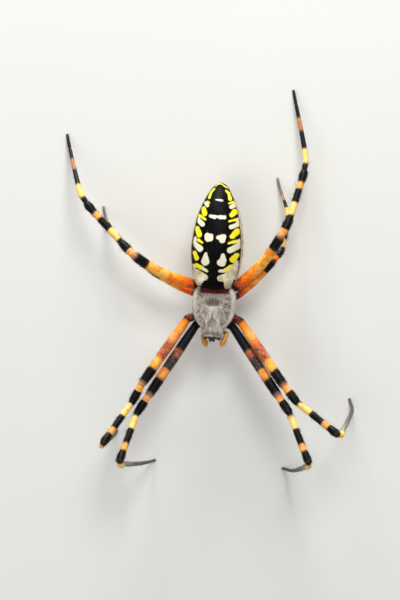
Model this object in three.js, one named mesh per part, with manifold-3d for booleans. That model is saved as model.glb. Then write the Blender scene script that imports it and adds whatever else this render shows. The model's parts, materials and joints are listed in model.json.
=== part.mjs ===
// Yellow garden spider (an orb weaver), adult female, life size, standing still on eight feet.
// Millimetres, +Z up. The head looks along -Y, the tail points along +Y and the animal's left is +X.
// The body is divided as its own anatomy is: carapace, sternum, pedicel, abdomen, spinnerets,
// chelicerae with fangs, palps, eight eyes, and legs of coxa, femur, patella, tibia and foot.

import * as THREE from 'three';
import Module from 'manifold-3d';
import { mergeVertices } from 'three/addons/utils/BufferGeometryUtils.js';

const wasm = await Module();
wasm.setup();

// ---------------------------------------------------------------- driving dimensions

const GAP = 0.25;               // clear space that meeting body parts keep
const FINE_GAP = 0.08;          // the same for eyes and fangs, a few tenths of a millimetre across
const LEG_SIDES = 10;
const FEMUR_SWELL_RINGS = 3;    // rings over which the femur's swelling at the hip fades
const FOOT_SIDES = 8;
const SMALL_SIDES = 8;          // of eyes, fangs, palps and single spinnerets
const ROUND_SIDES = 12;         // of chelicerae, mounds and lobes
const WELD = 1e-5;              // points closer than this are one
const END_ROUNDNESS = 0.6;      // how far a tube's end bulges, by its radius there

const CARAPACE = {
  rearY: 3.06,                  // where the pedicel leaves
  frontY: -4.35,                // front face of the head
  thoraxY: 0.35,                // widest place of the thorax
  thoraxHalfWidth: 3.05,
  thoraxRearReach: 3.1,         // from the widest place back to the rear end of the oval
  thoraxFrontReach: 3.55,
  headHalfWidth: 1.57,
  underZ: 7.0,                  // flat underside, over the coxae
  rimHeight: 0.3,
  crownZ: 8.95,
  crownRun: 3.6,                // from the rear forwards to the full height
  crownPower: 0.75,             // under 1 makes that rise steep at first
  rearLift: 0.08,               // height over the rim at the rear end
  browRun: 1.3,                 // length over which the head falls to its front
  browDrop: 0.62,
  browPower: 1.5,
  cornerPower: 9,               // higher makes the front corners of the head squarer
  cornerRounding: 0.4,
  headMargin: 1.01,             // the head's outline closes just past its front face
  neckPower: 6,                 // higher makes a sharper neck between thorax and head
  rearPower: 3.8,               // over 2 makes the rear of the thorax squarer than an oval
  domePower: 0.85,              // under 1 makes the sections fuller than an arch
  underShares: [-0.99, -0.5, 0, 0.5, 0.99],
  rings: 22,
  domePoints: 20,
};
const FOVEA = { y: 0.85, radius: 0.55, depth: 0.28 };
const NECK_GROOVE = { endX: 1.75, endY: -2.5, width: 0.34, depth: 0.2, curve: 0.8 };

const STERNUM = {
  centreY: -0.05,
  halfLength: 1.85,
  halfWidth: 1.5,
  bottomZ: 4.2,
  plateTopZ: 4.75,
  coreScale: 0.56,              // the body core above the plate, inside the ring of coxae
  narrowing: 0.22,              // by how much it is wider at the front than at the rear
  edgeLevels: [[0.02, 0.6], [0.15, 0.9], [0.32, 1]],    // height over the bottom, and scale there
  topScale: 0.95,
  coreStart: 0.12,              // height over the plate at which the core has its own width
  points: 20,
};
const LABIUM = { y: -2.05, halfWidth: 0.36, halfLength: 0.5, halfHeight: 0.22, z: 4.5 };

const PEDICEL = { startY: 1.4, radius: 0.4, z: 6.1, rise: 0.25, taper: [0.5, 1, 1, 0.5], rings: 6 };

// Cross-sections of the abdomen from the waist to the tail. Each is an egg-shaped ring that leans:
// its top and bottom points (y, z), its half width, and how far down from the top it is widest.
const ABDOMEN_WAIST = [4.05, 6.3];
const ABDOMEN_SECTIONS = [
  { top: [3.05, 7.55], bottom: [4.5, 5.6], halfWidth: 1.8, widest: 0.42 },
  { top: [2.62, 8.75], bottom: [5.0, 4.8], halfWidth: 2.6, widest: 0.36 },
  { top: [3.2, 9.75], bottom: [5.9, 4.0], halfWidth: 3.05, widest: 0.38 },
  { top: [4.9, 10.4], bottom: [7.1, 3.5], halfWidth: 3.42, widest: 0.44 },
  { top: [7.4, 10.7], bottom: [8.8, 3.2], halfWidth: 3.66, widest: 0.47 },
  { top: [10.2, 10.45], bottom: [11.0, 3.15], halfWidth: 3.48, widest: 0.48 },
  { top: [12.9, 9.7], bottom: [13.1, 3.35], halfWidth: 3.02, widest: 0.49 },
  { top: [15.3, 8.5], bottom: [14.9, 3.8], halfWidth: 2.2, widest: 0.49 },
  { top: [16.9, 7.1], bottom: [16.4, 4.4], halfWidth: 1.32, widest: 0.5 },
  { top: [17.45, 6.3], bottom: [17.2, 4.9], halfWidth: 0.74, widest: 0.5 },
];
const ABDOMEN_TAIL = [17.68, 5.55];
const FULLNESS = 0.9;           // under 1 makes the abdomen's sections squarer than an oval
const ABDOMEN_RINGS = 25;
const ABDOMEN_POINTS = 28;
const SHOULDER = { x: 1.95, y: 3.45, radius: 0.75, height: 0.38, forward: 0.4 };

const SPINNERETS = {
  section: 0.8,                 // place along the abdomen, from waist 0 to tail 1
  baseRadius: 0.78,
  baseHeight: 0.3,
  baseTaper: [0.8, 1, 0.9],
  lean: 0.35,                   // towards the tail, by the way straight out
  taper: [1, 1, 0.85, 0.5],
  baseSides: 14,
  baseRings: 3,
  rings: 4,
  pairs: [                      // front, small middle and rear pair
    { x: 0.36, along: -0.3, radius: 0.3, length: 1.0, splay: 8 },
    { x: 0.2, along: 0.08, radius: 0.16, length: 0.65, splay: 4 },
    { x: 0.34, along: 0.38, radius: 0.27, length: 0.95, splay: 10 },
  ],
};

const CHELICERA = {
  x: 0.56,
  rootY: -3.75,
  rootZ: 6.75,
  bellyY: -4.0,
  bellyZ: 5.6,
  tipX: 0.6,
  tipY: -3.8,
  tipZ: 4.55,
  radii: [0.36, 0.47, 0.5, 0.42, 0.28],
  rings: 8,
};
// Each fang turns down and inwards, its point under the middle of the mouth.
const FANG = {
  reach: 0.42,                  // inwards
  drop: 0.375,
  backward: 0.3,
  bend: { reach: 0.6, drop: 0.93, backward: 0.33 },     // where it bends, by those three
  radius: 0.12,
  taper: [1, 0.8, 0.5, 0.2],
  rings: 5,
};

const PALP = {
  radii: [0.36, 0.33, 0.31, 0.33, 0.34, 0.36, 0.41, 0.42, 0.26],
  rings: 16,
  lobe: { x: 0.66, y: -2.8, z: 4.65, halfWidth: 0.38, halfLength: 0.5, halfHeight: 0.33 },
};
// Middle line of each palp from the mouth outwards, forwards and down to its tip (x outwards).
const PALP_LINE = {
  left: [[0.75, -2.75, 4.8], [1.3, -3.35, 5.15], [1.82, -3.62, 6.2], [1.72, -4.08, 6.42], [1.44, -4.65, 6.1],
    [1.14, -5.2, 5.4]],
  right: [[0.75, -2.75, 4.8], [1.22, -3.3, 4.85], [1.48, -3.85, 5.3], [1.4, -4.4, 5.75], [1.14, -4.95, 5.7],
    [1, -5.27, 5.25]],
};

const EYES = [
  { name: 'rear_median', x: 0.34, y: -4.02, z: 8.36, radius: 0.17 },
  { name: 'front_median', x: 0.26, y: -4.6, z: 7.98, radius: 0.16 },
  { name: 'rear_lateral', x: 1.1, y: -4.12, z: 8.02, radius: 0.13 },
  { name: 'front_lateral', x: 1.02, y: -4.42, z: 7.72, radius: 0.13 },
];
const MEDIAN_MOUND = { y: -4.26, z: 7.98, radius: 0.45 };
const LATERAL_MOUND = { x: 1.0, y: -4.2, z: 7.82, radius: 0.3 };

// Length of each segment of the four leg pairs, and how stout the pair is beside the first.
const LEG_PAIRS = {
  1: { femur: 12.26, patella: 2.9, tibia: 7.9, metatarsus: 10.9, tarsus: 2.4, stout: 1.0 },
  2: { femur: 11.3, patella: 3.0, tibia: 7.5, metatarsus: 10.45, tarsus: 2.4, stout: 1.0 },
  3: { femur: 7.1, patella: 2.3, tibia: 4.6, metatarsus: 5.3, tarsus: 1.7, stout: 0.73 },
  4: { femur: 9.9, patella: 2.75, tibia: 7.65, metatarsus: 10.3, tarsus: 2.2, stout: 1.03 },
};
// How much thicker each pair's femur is at the hip, and how far it bows forwards, by its length.
const FEMUR_FORM = {
  1: { swell: 1, bow: 0 },
  2: { swell: 1, bow: 0 },
  3: { swell: 1.12, bow: 0.02 },
  4: { swell: 1.22, bow: 0.058 },
};
// Inner end of each coxa and the hip, where coxa and femur meet, on the left side.
const COXAE = {
  1: { root: [1.15, -1.95, 5.65], hip: [2.55, -2.43, 5.4] },
  2: { root: [1.3, -0.7, 5.8], hip: [3.75, -1.7, 6.5] },
  3: { root: [1.3, 0.65, 5.5], hip: [3.1, 1.9, 4.8] },
  4: { root: [1.1, 1.95, 5.9], hip: [2.8, 3.12, 6.1] },
};
// The stance. headings turn from straight out sideways (0) to the tail (90) or the head (-90), for
// femur, patella, tibia, metatarsus and tarsus. heights are those of the four joints below the hip,
// and each foot ends on the floor.
const STANCE = {
  1: {
    left: { headings: [-52.6, -52, -64, -150, 173], heights: [8.4, 9.3, 12.3, 2.0] },
    right: { headings: [-60, -60, -76, -171, 163], heights: [8.3, 8.8, 12.8, 2.3] },
  },
  2: {
    left: { headings: [-52, -48, -34, 68, 115], heights: [9.0, 9.4, 11.8, 2.0] },
    right: { headings: [-59, -64, -60, 103, 106], heights: [9.2, 9.0, 12.75, 2.32] },
  },
  3: {
    left: { headings: [46, 57, 84, 109, 110], heights: [6.2, 5.0, 3.5, 0.8] },
    right: { headings: [25, 40, 43, 51, 72], heights: [5.0, 5.0, 5.0, 0.75] },
  },
  4: {
    left: { headings: [50, 67, 78, 101, 105], heights: [8.3, 7.5, 4.2, 0.95] },
    right: { headings: [23, 41, 44, 66, 73], heights: [9.3, 8.3, 6.5, 1.1] },
  },
};
// The foot's line: two points along the metatarsus, by its length, that stand out on its upper side,
// and one just short of the tip.
const FOOT_LINE = { rise: 0.16, top: 0.55, bow: 0.042, topBow: 0.034, beforeTip: 0.3, beforeTipZ: 0.45 };
const FOOT_RINGS = 16;
const FOOT_DISH = 0.08;

// Radii along each segment of a first leg, from its near to its far end.
const COXA_RADII = [0.42, 0.6, 0.66, 0.6];
const FEMUR_RADII = [0.54, 0.66, 0.71, 0.71, 0.69, 0.65];
const PATELLA_RADII = [0.47, 0.6, 0.6];
const TIBIA_RADII = [0.45, 0.48, 0.48, 0.48, 0.61];
const FOOT_RADII = [0.37, 0.39, 0.36, 0.31, 0.28, 0.27, 0.26, 0.25, 0.25, 0.24];
const JOINT_RADII = { hip: 0.56, knee: 0.58, shin: 0.53, heel: 0.56 };
const DISH_SHARE = 0.55;        // inner ring of the dish at a segment's near end, by its radius
const BALL_DEGREES = [5, 35, 65];
const BALL_START = 0.5;         // how far before a joint the segment has its end's width, by the ball
const LEAST_RADIUS = 0.25;      // no leg is thinner than half a millimetre before its tip
const PAD_RADIUS = 0.2;         // the flat on which a foot stands

// ---------------------------------------------------------------- materials

function finish(colour, roughness) {
  return new THREE.MeshStandardMaterial({ color: colour, roughness, metalness: 0 });
}

const MATERIALS = {
  carapace: finish(0xb9b8ab, 0.8),
  underside: finish(0x2a2320, 0.6),
  abdomen: finish(0xe3cf55, 0.55),
  spinneret: finish(0x4a3328, 0.6),
  chelicera: finish(0xc98a35, 0.5),
  fang: finish(0x2b1410, 0.3),
  palp: finish(0xe2b25c, 0.6),
  eye: finish(0x070708, 0.1),
  coxa: finish(0x2b1416, 0.5),
  femur: finish(0xd9691f, 0.5),
  patella: finish(0x231c22, 0.45),
  tibia: finish(0xc9983a, 0.5),
  foot: finish(0x5a4227, 0.55),
};

// ---------------------------------------------------------------- making closed surfaces

const animal = new THREE.Group();

function addNode(name, geometry, material) {
  const mesh = new THREE.Mesh(geometry, material);
  mesh.name = name;
  animal.add(mesh);
  return mesh;
}

// A closed skin over rings of points. Each ring turns counter-clockwise about the way from the
// first pole to the last one.
function skinOver(rings, firstPole, lastPole) {
  const count = rings[0].length;
  const points = [firstPole, ...rings.flat(), lastPole];
  const last = points.length - 1;
  const at = (ring, k) => 1 + ring * count + (k % count);
  const index = [];
  for (let k = 0; k < count; k += 1) {
    index.push(0, at(0, k + 1), at(0, k));
    index.push(last, at(rings.length - 1, k), at(rings.length - 1, k + 1));
    for (let ring = 0; ring + 1 < rings.length; ring += 1) {
      index.push(at(ring, k), at(ring, k + 1), at(ring + 1, k + 1));
      index.push(at(ring, k), at(ring + 1, k + 1), at(ring + 1, k));
    }
  }
  const geometry = new THREE.BufferGeometry();
  const numbers = points.flatMap((point) => point.toArray());
  geometry.setAttribute('position', new THREE.Float32BufferAttribute(numbers, 3));
  geometry.setIndex(index);
  return geometry;
}

// A ring of points about a centre, in the plane of two axes.
function ringAbout(centre, acrossAxis, upAxis, radius, sides) {
  return Array.from({ length: sides }, (_, k) => {
    const turn = (2 * Math.PI * k) / sides;
    return centre.clone()
      .addScaledVector(acrossAxis, radius * Math.cos(turn))
      .addScaledVector(upAxis, radius * Math.sin(turn));
  });
}

// Value at fraction t of a row of evenly spaced values, with straight lines between them.
function alongRow(row, t) {
  const place = THREE.MathUtils.clamp(t, 0, 1) * (row.length - 1);
  const low = Math.min(Math.floor(place), row.length - 2);
  return THREE.MathUtils.lerp(row[low], row[low + 1], place - low);
}

// A tapering tube along a smooth line through points, rounded at both ends.
function taperedTube(linePoints, radii, sides, ringCount) {
  const line = new THREE.CatmullRomCurve3(linePoints);
  const frames = line.computeFrenetFrames(ringCount);
  const rings = [];
  for (let ring = 0; ring <= ringCount; ring += 1) {
    const t = ring / ringCount;
    rings.push(ringAbout(line.getPointAt(t), frames.normals[ring], frames.binormals[ring],
      alongRow(radii, t), sides));
  }
  const first = line.getPointAt(0).addScaledVector(frames.tangents[0], -radii[0] * END_ROUNDNESS);
  const last = line.getPointAt(1).addScaledVector(frames.tangents[ringCount], radii.at(-1) * END_ROUNDNESS);
  return skinOver(rings, first, last);
}

function toSolid(geometry) {
  const bare = geometry.clone();
  bare.deleteAttribute('normal');
  bare.deleteAttribute('uv');
  const merged = mergeVertices(bare, WELD);
  return new wasm.Manifold(new wasm.Mesh({
    numProp: 3,
    vertProperties: merged.attributes.position.array,
    triVerts: new Uint32Array(merged.index.array),
  }));
}

// The largest closed surface of a solid, as a geometry.
function toGeometry(solid) {
  const largest = solid.decompose().sort((a, b) => b.volume() - a.volume())[0];
  const mesh = largest.getMesh();
  const geometry = new THREE.BufferGeometry();
  geometry.setAttribute('position', new THREE.BufferAttribute(new Float32Array(mesh.vertProperties), 3));
  geometry.setIndex(new THREE.BufferAttribute(new Uint32Array(mesh.triVerts), 1));
  return geometry;
}

function joined(geometries) {
  return toGeometry(geometries.map(toSolid).reduce((whole, piece) => whole.add(piece)));
}

function ball(x, y, z, radius, sides = SMALL_SIDES) {
  return new THREE.SphereGeometry(radius, sides, sides - 3).translate(x, y, z);
}

function egg(x, y, z, halfWidth, halfLength, halfHeight) {
  return new THREE.SphereGeometry(1, ROUND_SIDES, SMALL_SIDES)
    .scale(halfWidth, halfLength, halfHeight)
    .translate(x, y, z);
}

// ---------------------------------------------------------------- carapace and eyes

// Half width of the carapace at y: an oval thorax, and a narrower head with rounded corners.
function carapaceHalfWidth(y) {
  const { thoraxY, thoraxHalfWidth, thoraxRearReach, thoraxFrontReach, headHalfWidth, frontY } = CARAPACE;
  const { headMargin, cornerPower, cornerRounding, neckPower, rearPower } = CARAPACE;
  if (y > thoraxY) {
    const backward = (y - thoraxY) / thoraxRearReach;
    return thoraxHalfWidth * Math.sqrt(Math.max(0, 1 - backward ** rearPower));
  }
  const thorax = thoraxHalfWidth * Math.sqrt(Math.max(0, 1 - ((thoraxY - y) / thoraxFrontReach) ** 2));
  const forward = (thoraxY - y) / ((thoraxY - frontY) * headMargin);
  const head = headHalfWidth * Math.max(0, 1 - forward ** cornerPower) ** cornerRounding;
  return (thorax ** neckPower + head ** neckPower) ** (1 / neckPower);
}

// Height of the carapace's middle line at y: low at the rear, level over the thorax, rounded head.
function carapaceCrown(y) {
  const { rearY, frontY, underZ, rimHeight, crownZ, crownRun, crownPower, rearLift } = CARAPACE;
  const { browRun, browDrop, browPower } = CARAPACE;
  const rim = underZ + rimHeight;
  const rise = (crownZ - rim) * Math.sin((Math.PI / 2) * Math.min(1, (rearY - y) / crownRun)) ** crownPower;
  const brow = browDrop * THREE.MathUtils.smoothstep(-y, -frontY - browRun, -frontY) ** browPower;
  return rim + rearLift + rise - brow;
}

// How deep the fovea and the two grooves that mark off the head are at a place on the carapace.
function carapaceHollow(x, y) {
  const fovea = FOVEA.depth * Math.exp(-(x * x + (y - FOVEA.y) ** 2) / FOVEA.radius ** 2);
  const { endX, endY, width, depth, curve } = NECK_GROOVE;
  const along = THREE.MathUtils.clamp((FOVEA.y - y) / (FOVEA.y - endY), 0, 1);
  const aside = Math.abs(x) - endX * along ** curve;
  const groove = depth * Math.sin(Math.PI * along) * Math.exp(-((aside / width) ** 2));
  return fovea + groove;
}

function carapaceRing(y) {
  const { underZ, rimHeight, domePoints, domePower, underShares } = CARAPACE;
  const halfWidth = carapaceHalfWidth(y);
  const rim = underZ + rimHeight;
  const ring = [];
  for (let k = 0; k <= domePoints; k += 1) {
    const turn = (Math.PI * k) / domePoints;
    const x = halfWidth * Math.cos(turn);
    const dome = (carapaceCrown(y) - rim) * Math.sin(turn) ** domePower;
    const hollow = carapaceHollow(x, y) * Math.sin(turn);
    ring.push(new THREE.Vector3(x, y, rim + dome - hollow));
  }
  for (const share of underShares) {
    ring.push(new THREE.Vector3(halfWidth * share, y, underZ));
  }
  return ring;
}

function carapaceShell() {
  const { rearY, frontY, rings, underZ } = CARAPACE;
  const sections = [];
  for (let k = 0; k <= rings; k += 1) {
    const t = k / rings;
    sections.push(carapaceRing(THREE.MathUtils.lerp(rearY, frontY, t)));
  }
  const middleZ = (y) => (underZ + carapaceCrown(y)) / 2;
  const rear = new THREE.Vector3(0, rearY, middleZ(rearY));
  const front = new THREE.Vector3(0, frontY, middleZ(frontY));
  return skinOver(sections, rear, front);
}

function buildCarapaceAndEyes() {
  const mounds = [
    ball(0, MEDIAN_MOUND.y, MEDIAN_MOUND.z, MEDIAN_MOUND.radius, ROUND_SIDES),
    ball(LATERAL_MOUND.x, LATERAL_MOUND.y, LATERAL_MOUND.z, LATERAL_MOUND.radius),
    ball(-LATERAL_MOUND.x, LATERAL_MOUND.y, LATERAL_MOUND.z, LATERAL_MOUND.radius),
  ];
  let head = toSolid(joined([carapaceShell(), ...mounds]));
  for (const { name, x, y, z, radius } of EYES) {
    for (const [side, sign] of [['left', 1], ['right', -1]]) {
      head = head.subtract(toSolid(ball(sign * x, y, z, radius + FINE_GAP)));
      addNode(`eye_${name}_${side}`, ball(sign * x, y, z, radius), MATERIALS.eye);
    }
  }
  addNode('carapace', toGeometry(head), MATERIALS.carapace);
}

// ---------------------------------------------------------------- underside and waist

function sternumRing(z, scale) {
  const { centreY, halfLength, halfWidth, narrowing, points } = STERNUM;
  return Array.from({ length: points }, (_, k) => {
    const turn = (2 * Math.PI * k) / points;
    return new THREE.Vector3(
      scale * halfWidth * (1 - narrowing * Math.sin(turn)) * Math.cos(turn),
      centreY + scale * halfLength * Math.sin(turn),
      z,
    );
  });
}

function buildSternum() {
  const { centreY, bottomZ, plateTopZ, edgeLevels, topScale, coreStart, coreScale } = STERNUM;
  const coreTopZ = CARAPACE.underZ - GAP;
  const rings = [
    ...edgeLevels.map(([height, scale]) => sternumRing(bottomZ + height, scale)),
    sternumRing(plateTopZ, topScale),
    sternumRing(plateTopZ + coreStart, coreScale),
    sternumRing(coreTopZ, coreScale),
  ];
  const bottom = new THREE.Vector3(0, centreY, bottomZ);
  const top = new THREE.Vector3(0, centreY, coreTopZ);
  const plate = skinOver(rings, bottom, top);
  const labium = egg(0, LABIUM.y, LABIUM.z, LABIUM.halfWidth, LABIUM.halfLength, LABIUM.halfHeight);
  addNode('sternum', joined([plate, labium]), MATERIALS.underside);
}

function buildPedicel() {
  const { startY, radius, z, rise, taper } = PEDICEL;
  const endY = ABDOMEN_WAIST[0] - GAP;
  const line = [
    new THREE.Vector3(0, startY, z),
    new THREE.Vector3(0, (startY + endY) / 2, z),
    new THREE.Vector3(0, endY, z + rise),
  ];
  const radii = taper.map((share) => share * radius);
  addNode('pedicel', taperedTube(line, radii, LEG_SIDES, PEDICEL.rings), MATERIALS.underside);
}

// ---------------------------------------------------------------- abdomen and spinnerets

// The abdomen's section at t, from the waist at 0 to the tail at 1, smoothly between the named ones.
function abdomenSection(t) {
  const topLine = new THREE.CatmullRomCurve3(ABDOMEN_SECTIONS.map(({ top, halfWidth }) => (
    new THREE.Vector3(halfWidth, ...top))));
  const bottomLine = new THREE.CatmullRomCurve3(ABDOMEN_SECTIONS.map(({ bottom, widest }) => (
    new THREE.Vector3(widest, ...bottom))));
  const top = topLine.getPoint(t);
  const bottom = bottomLine.getPoint(t);
  return { top, bottom, halfWidth: top.x, widest: bottom.x };
}

// A point on the abdomen: t along it, turn about it from the left side (0) over the top (90 degrees).
function abdomenPoint(t, turn) {
  const { top, bottom, halfWidth, widest } = abdomenSection(t);
  const middle = top.clone().lerp(bottom, widest);
  const upright = Math.sin(turn);
  const toward = upright > 0 ? top : bottom;
  const point = middle.clone().lerp(toward, Math.abs(upright));
  const x = halfWidth * Math.sign(Math.cos(turn)) * Math.abs(Math.cos(turn)) ** FULLNESS;
  const offX = (Math.abs(x) - SHOULDER.x) / SHOULDER.radius;
  const offY = (point.y - SHOULDER.y) / SHOULDER.radius;
  const hump = upright > 0 ? SHOULDER.height * upright * Math.exp(-(offX ** 2) - (offY ** 2)) : 0;
  return new THREE.Vector3(x, point.y - hump * SHOULDER.forward, point.z + hump);
}

function buildAbdomen() {
  const rings = [];
  for (let k = 0; k <= ABDOMEN_RINGS; k += 1) {
    const ring = [];
    for (let j = 0; j < ABDOMEN_POINTS; j += 1) {
      ring.push(abdomenPoint(k / ABDOMEN_RINGS, Math.PI - (2 * Math.PI * j) / ABDOMEN_POINTS));
    }
    rings.push(ring);
  }
  const waist = new THREE.Vector3(0, ...ABDOMEN_WAIST);
  const tail = new THREE.Vector3(0, ...ABDOMEN_TAIL);
  addNode('abdomen', skinOver(rings, waist, tail), MATERIALS.abdomen);
}

function buildSpinnerets() {
  const { section, baseRadius, baseHeight, baseTaper, lean, taper, pairs } = SPINNERETS;
  const { baseSides, baseRings, rings } = SPINNERETS;
  const step = 0.01;
  const place = abdomenPoint(section, -Math.PI / 2);
  const backward = abdomenPoint(section + step, -Math.PI / 2).sub(place).normalize();
  const outward = new THREE.Vector3(1, 0, 0).cross(backward).negate();
  const root = place.clone().addScaledVector(outward, GAP * 2);
  const outFromRoot = (distance) => root.clone().addScaledVector(outward, distance);
  const baseLine = [root, outFromRoot(baseHeight / 2), outFromRoot(baseHeight)];
  const baseRadii = baseTaper.map((share) => share * baseRadius);
  const pieces = [taperedTube(baseLine, baseRadii, baseSides, baseRings)];
  for (const { x, along, radius, length, splay } of pairs) {
    for (const sign of [1, -1]) {
      const start = outFromRoot(baseHeight / 2).addScaledVector(backward, along).setX(sign * x);
      const aside = Math.sin(THREE.MathUtils.degToRad(splay)) * sign;
      const way = outward.clone().addScaledVector(backward, lean).setX(aside).normalize();
      const middle = start.clone().addScaledVector(way, length / 2);
      const end = start.clone().addScaledVector(way, length);
      const radii = taper.map((share) => share * radius);
      pieces.push(taperedTube([start, middle, end], radii, SMALL_SIDES, rings));
    }
  }
  addNode('spinnerets', joined(pieces), MATERIALS.spinneret);
}

// ---------------------------------------------------------------- chelicerae, fangs and palps

function buildChelicera(side, sign) {
  const { x, rootY, rootZ, bellyY, bellyZ, tipX, tipY, tipZ, radii, rings } = CHELICERA;
  const line = [
    new THREE.Vector3(sign * x, rootY, rootZ - radii[0] * END_ROUNDNESS),
    new THREE.Vector3(sign * x, bellyY, bellyZ),
    new THREE.Vector3(sign * tipX, tipY, tipZ),
  ];
  addNode(`chelicera_${side}`, taperedTube(line, radii, ROUND_SIDES, rings), MATERIALS.chelicera);
  const { reach, drop, backward, bend } = FANG;
  const fangZ = tipZ - (radii.at(-1) + FANG.radius) * END_ROUNDNESS - FINE_GAP;
  const fangPoint = (inShare, backShare, downShare) => new THREE.Vector3(
    sign * (tipX - reach * inShare),
    tipY + backward * backShare,
    fangZ - drop * downShare,
  );
  const fangLine = [
    new THREE.Vector3(sign * tipX, tipY, fangZ),
    fangPoint(bend.reach, bend.backward, bend.drop),
    fangPoint(1, 1, 1),
  ];
  const fangRadii = FANG.taper.map((share) => share * FANG.radius);
  addNode(`fang_${side}`, taperedTube(fangLine, fangRadii, SMALL_SIDES, FANG.rings), MATERIALS.fang);
}

function buildPalp(side, sign) {
  const { lobe, radii, rings } = PALP;
  const line = PALP_LINE[side].map(([x, y, z]) => new THREE.Vector3(sign * x, y, z));
  const pieces = [
    egg(sign * lobe.x, lobe.y, lobe.z, lobe.halfWidth, lobe.halfLength, lobe.halfHeight),
    taperedTube(line, radii, SMALL_SIDES, rings),
  ];
  addNode(`palp_${side}`, joined(pieces), MATERIALS.palp);
}

// ---------------------------------------------------------------- legs

// Joints of a leg: hip, knee, shin (where the tibia starts), heel (where the foot starts), wrist
// (where the tarsus starts) and the tip of the foot.
function legJoints(pair, side, sign) {
  const lengths = LEG_PAIRS[pair];
  const { headings, heights } = STANCE[pair][side];
  const [hipX, hipY, hipZ] = COXAE[pair].hip;
  const joints = [new THREE.Vector3(sign * hipX, hipY, hipZ)];
  ['femur', 'patella', 'tibia', 'metatarsus', 'tarsus'].forEach((segment, k) => {
    const from = joints[k];
    const rise = (heights[k] ?? 0) - from.z;
    const across = Math.sqrt(lengths[segment] ** 2 - rise ** 2);
    const heading = THREE.MathUtils.degToRad(headings[k]);
    joints.push(new THREE.Vector3(
      from.x + sign * across * Math.cos(heading),
      from.y + across * Math.sin(heading),
      from.z + rise,
    ));
  });
  return joints;
}

// A segment along +Z with its upper side towards +Y. Its near end is a shallow dish that fits the
// ball it meets, or flat where there is none, and its far end is the ball of the next joint. bow is
// how far its middle stands aside of that line.
function segmentGeometry(length, radii, stout, nearBall, farBall, bow) {
  const rings = [];
  const zAxis = (z) => new THREE.Vector3(0, 0, z);
  const bowed = (z) => bow.clone().multiplyScalar(Math.sin(Math.PI * Math.min(1, z / length)));
  const xAxis = new THREE.Vector3(1, 0, 0);
  const yAxis = new THREE.Vector3(0, 1, 0);
  const addRing = (z, radius) => {
    rings.push(ringAbout(zAxis(z).add(bowed(z)), xAxis, yAxis, radius, LEG_SIDES));
  };
  const nearReach = nearBall > 0 ? nearBall + GAP : 0;
  const rimRadius = radii[0] * stout;
  const dishZ = (radius) => (nearReach > 0 ? Math.sqrt(nearReach ** 2 - radius ** 2) : 0);
  addRing(dishZ(rimRadius * DISH_SHARE), rimRadius * DISH_SHARE);
  const startZ = dishZ(rimRadius);
  const endZ = length - farBall * BALL_START;
  radii.forEach((radius, k) => {
    addRing(THREE.MathUtils.lerp(startZ, endZ, k / (radii.length - 1)), radius * stout);
  });
  for (const degrees of BALL_DEGREES) {
    const turn = THREE.MathUtils.degToRad(degrees);
    addRing(length + farBall * Math.sin(turn), farBall * Math.cos(turn));
  }
  return skinOver(rings, zAxis(nearReach).add(bowed(nearReach)), zAxis(length + farBall));
}

// Turns a mesh so that its +Z runs along a direction and its +Y stays nearest to the upper side.
function aim(mesh, direction, upper) {
  const across = upper.clone().cross(direction).normalize();
  const trueUpper = direction.clone().cross(across);
  mesh.setRotationFromMatrix(new THREE.Matrix4().makeBasis(across, trueUpper, direction));
}

// Metatarsus and tarsus as one bowed tube, from the dish at the heel to the flat on the floor.
function footGeometry(heel, wrist, tip, tibiaWay, heelBall, stout) {
  const { rise, top, bow, topBow, beforeTip, beforeTipZ } = FOOT_LINE;
  const metaWay = wrist.clone().sub(heel).normalize();
  const startWay = tibiaWay.clone().add(metaWay).normalize();
  const outer = tibiaWay.clone().addScaledVector(metaWay, -tibiaWay.dot(metaWay)).normalize();
  const reach = heelBall + GAP * 1.5;
  const metaLength = heel.distanceTo(wrist);
  const onMetatarsus = (share, standOut) => heel.clone()
    .addScaledVector(metaWay, metaLength * share)
    .addScaledVector(outer, metaLength * standOut);
  const landing = tip.clone().sub(wrist).setZ(0).normalize();
  const line = new THREE.CatmullRomCurve3([
    heel.clone().addScaledVector(startWay, reach),
    onMetatarsus(rise, bow),
    onMetatarsus(top, topBow),
    wrist,
    tip.clone().addScaledVector(landing, -beforeTip).setZ(beforeTipZ),
    tip,
  ]);
  const frames = line.computeFrenetFrames(FOOT_RINGS);
  const rings = [];
  for (let ring = 0; ring < FOOT_RINGS; ring += 1) {
    const t = ring / FOOT_RINGS;
    const radius = Math.max(LEAST_RADIUS, alongRow(FOOT_RADII, t) * stout);
    const [across, over] = [frames.normals[ring], frames.binormals[ring]];
    rings.push(ringAbout(line.getPointAt(t), across, over, radius, FOOT_SIDES));
  }
  const down = new THREE.Vector3(0, 0, -1);
  const padAxis = frames.normals[FOOT_RINGS].clone().setZ(0).normalize();
  rings.push(ringAbout(tip, padAxis, down.clone().cross(padAxis), PAD_RADIUS, FOOT_SIDES));
  const dish = heel.clone().addScaledVector(startWay, reach + FOOT_DISH);
  return skinOver(rings, dish, tip);
}

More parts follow.
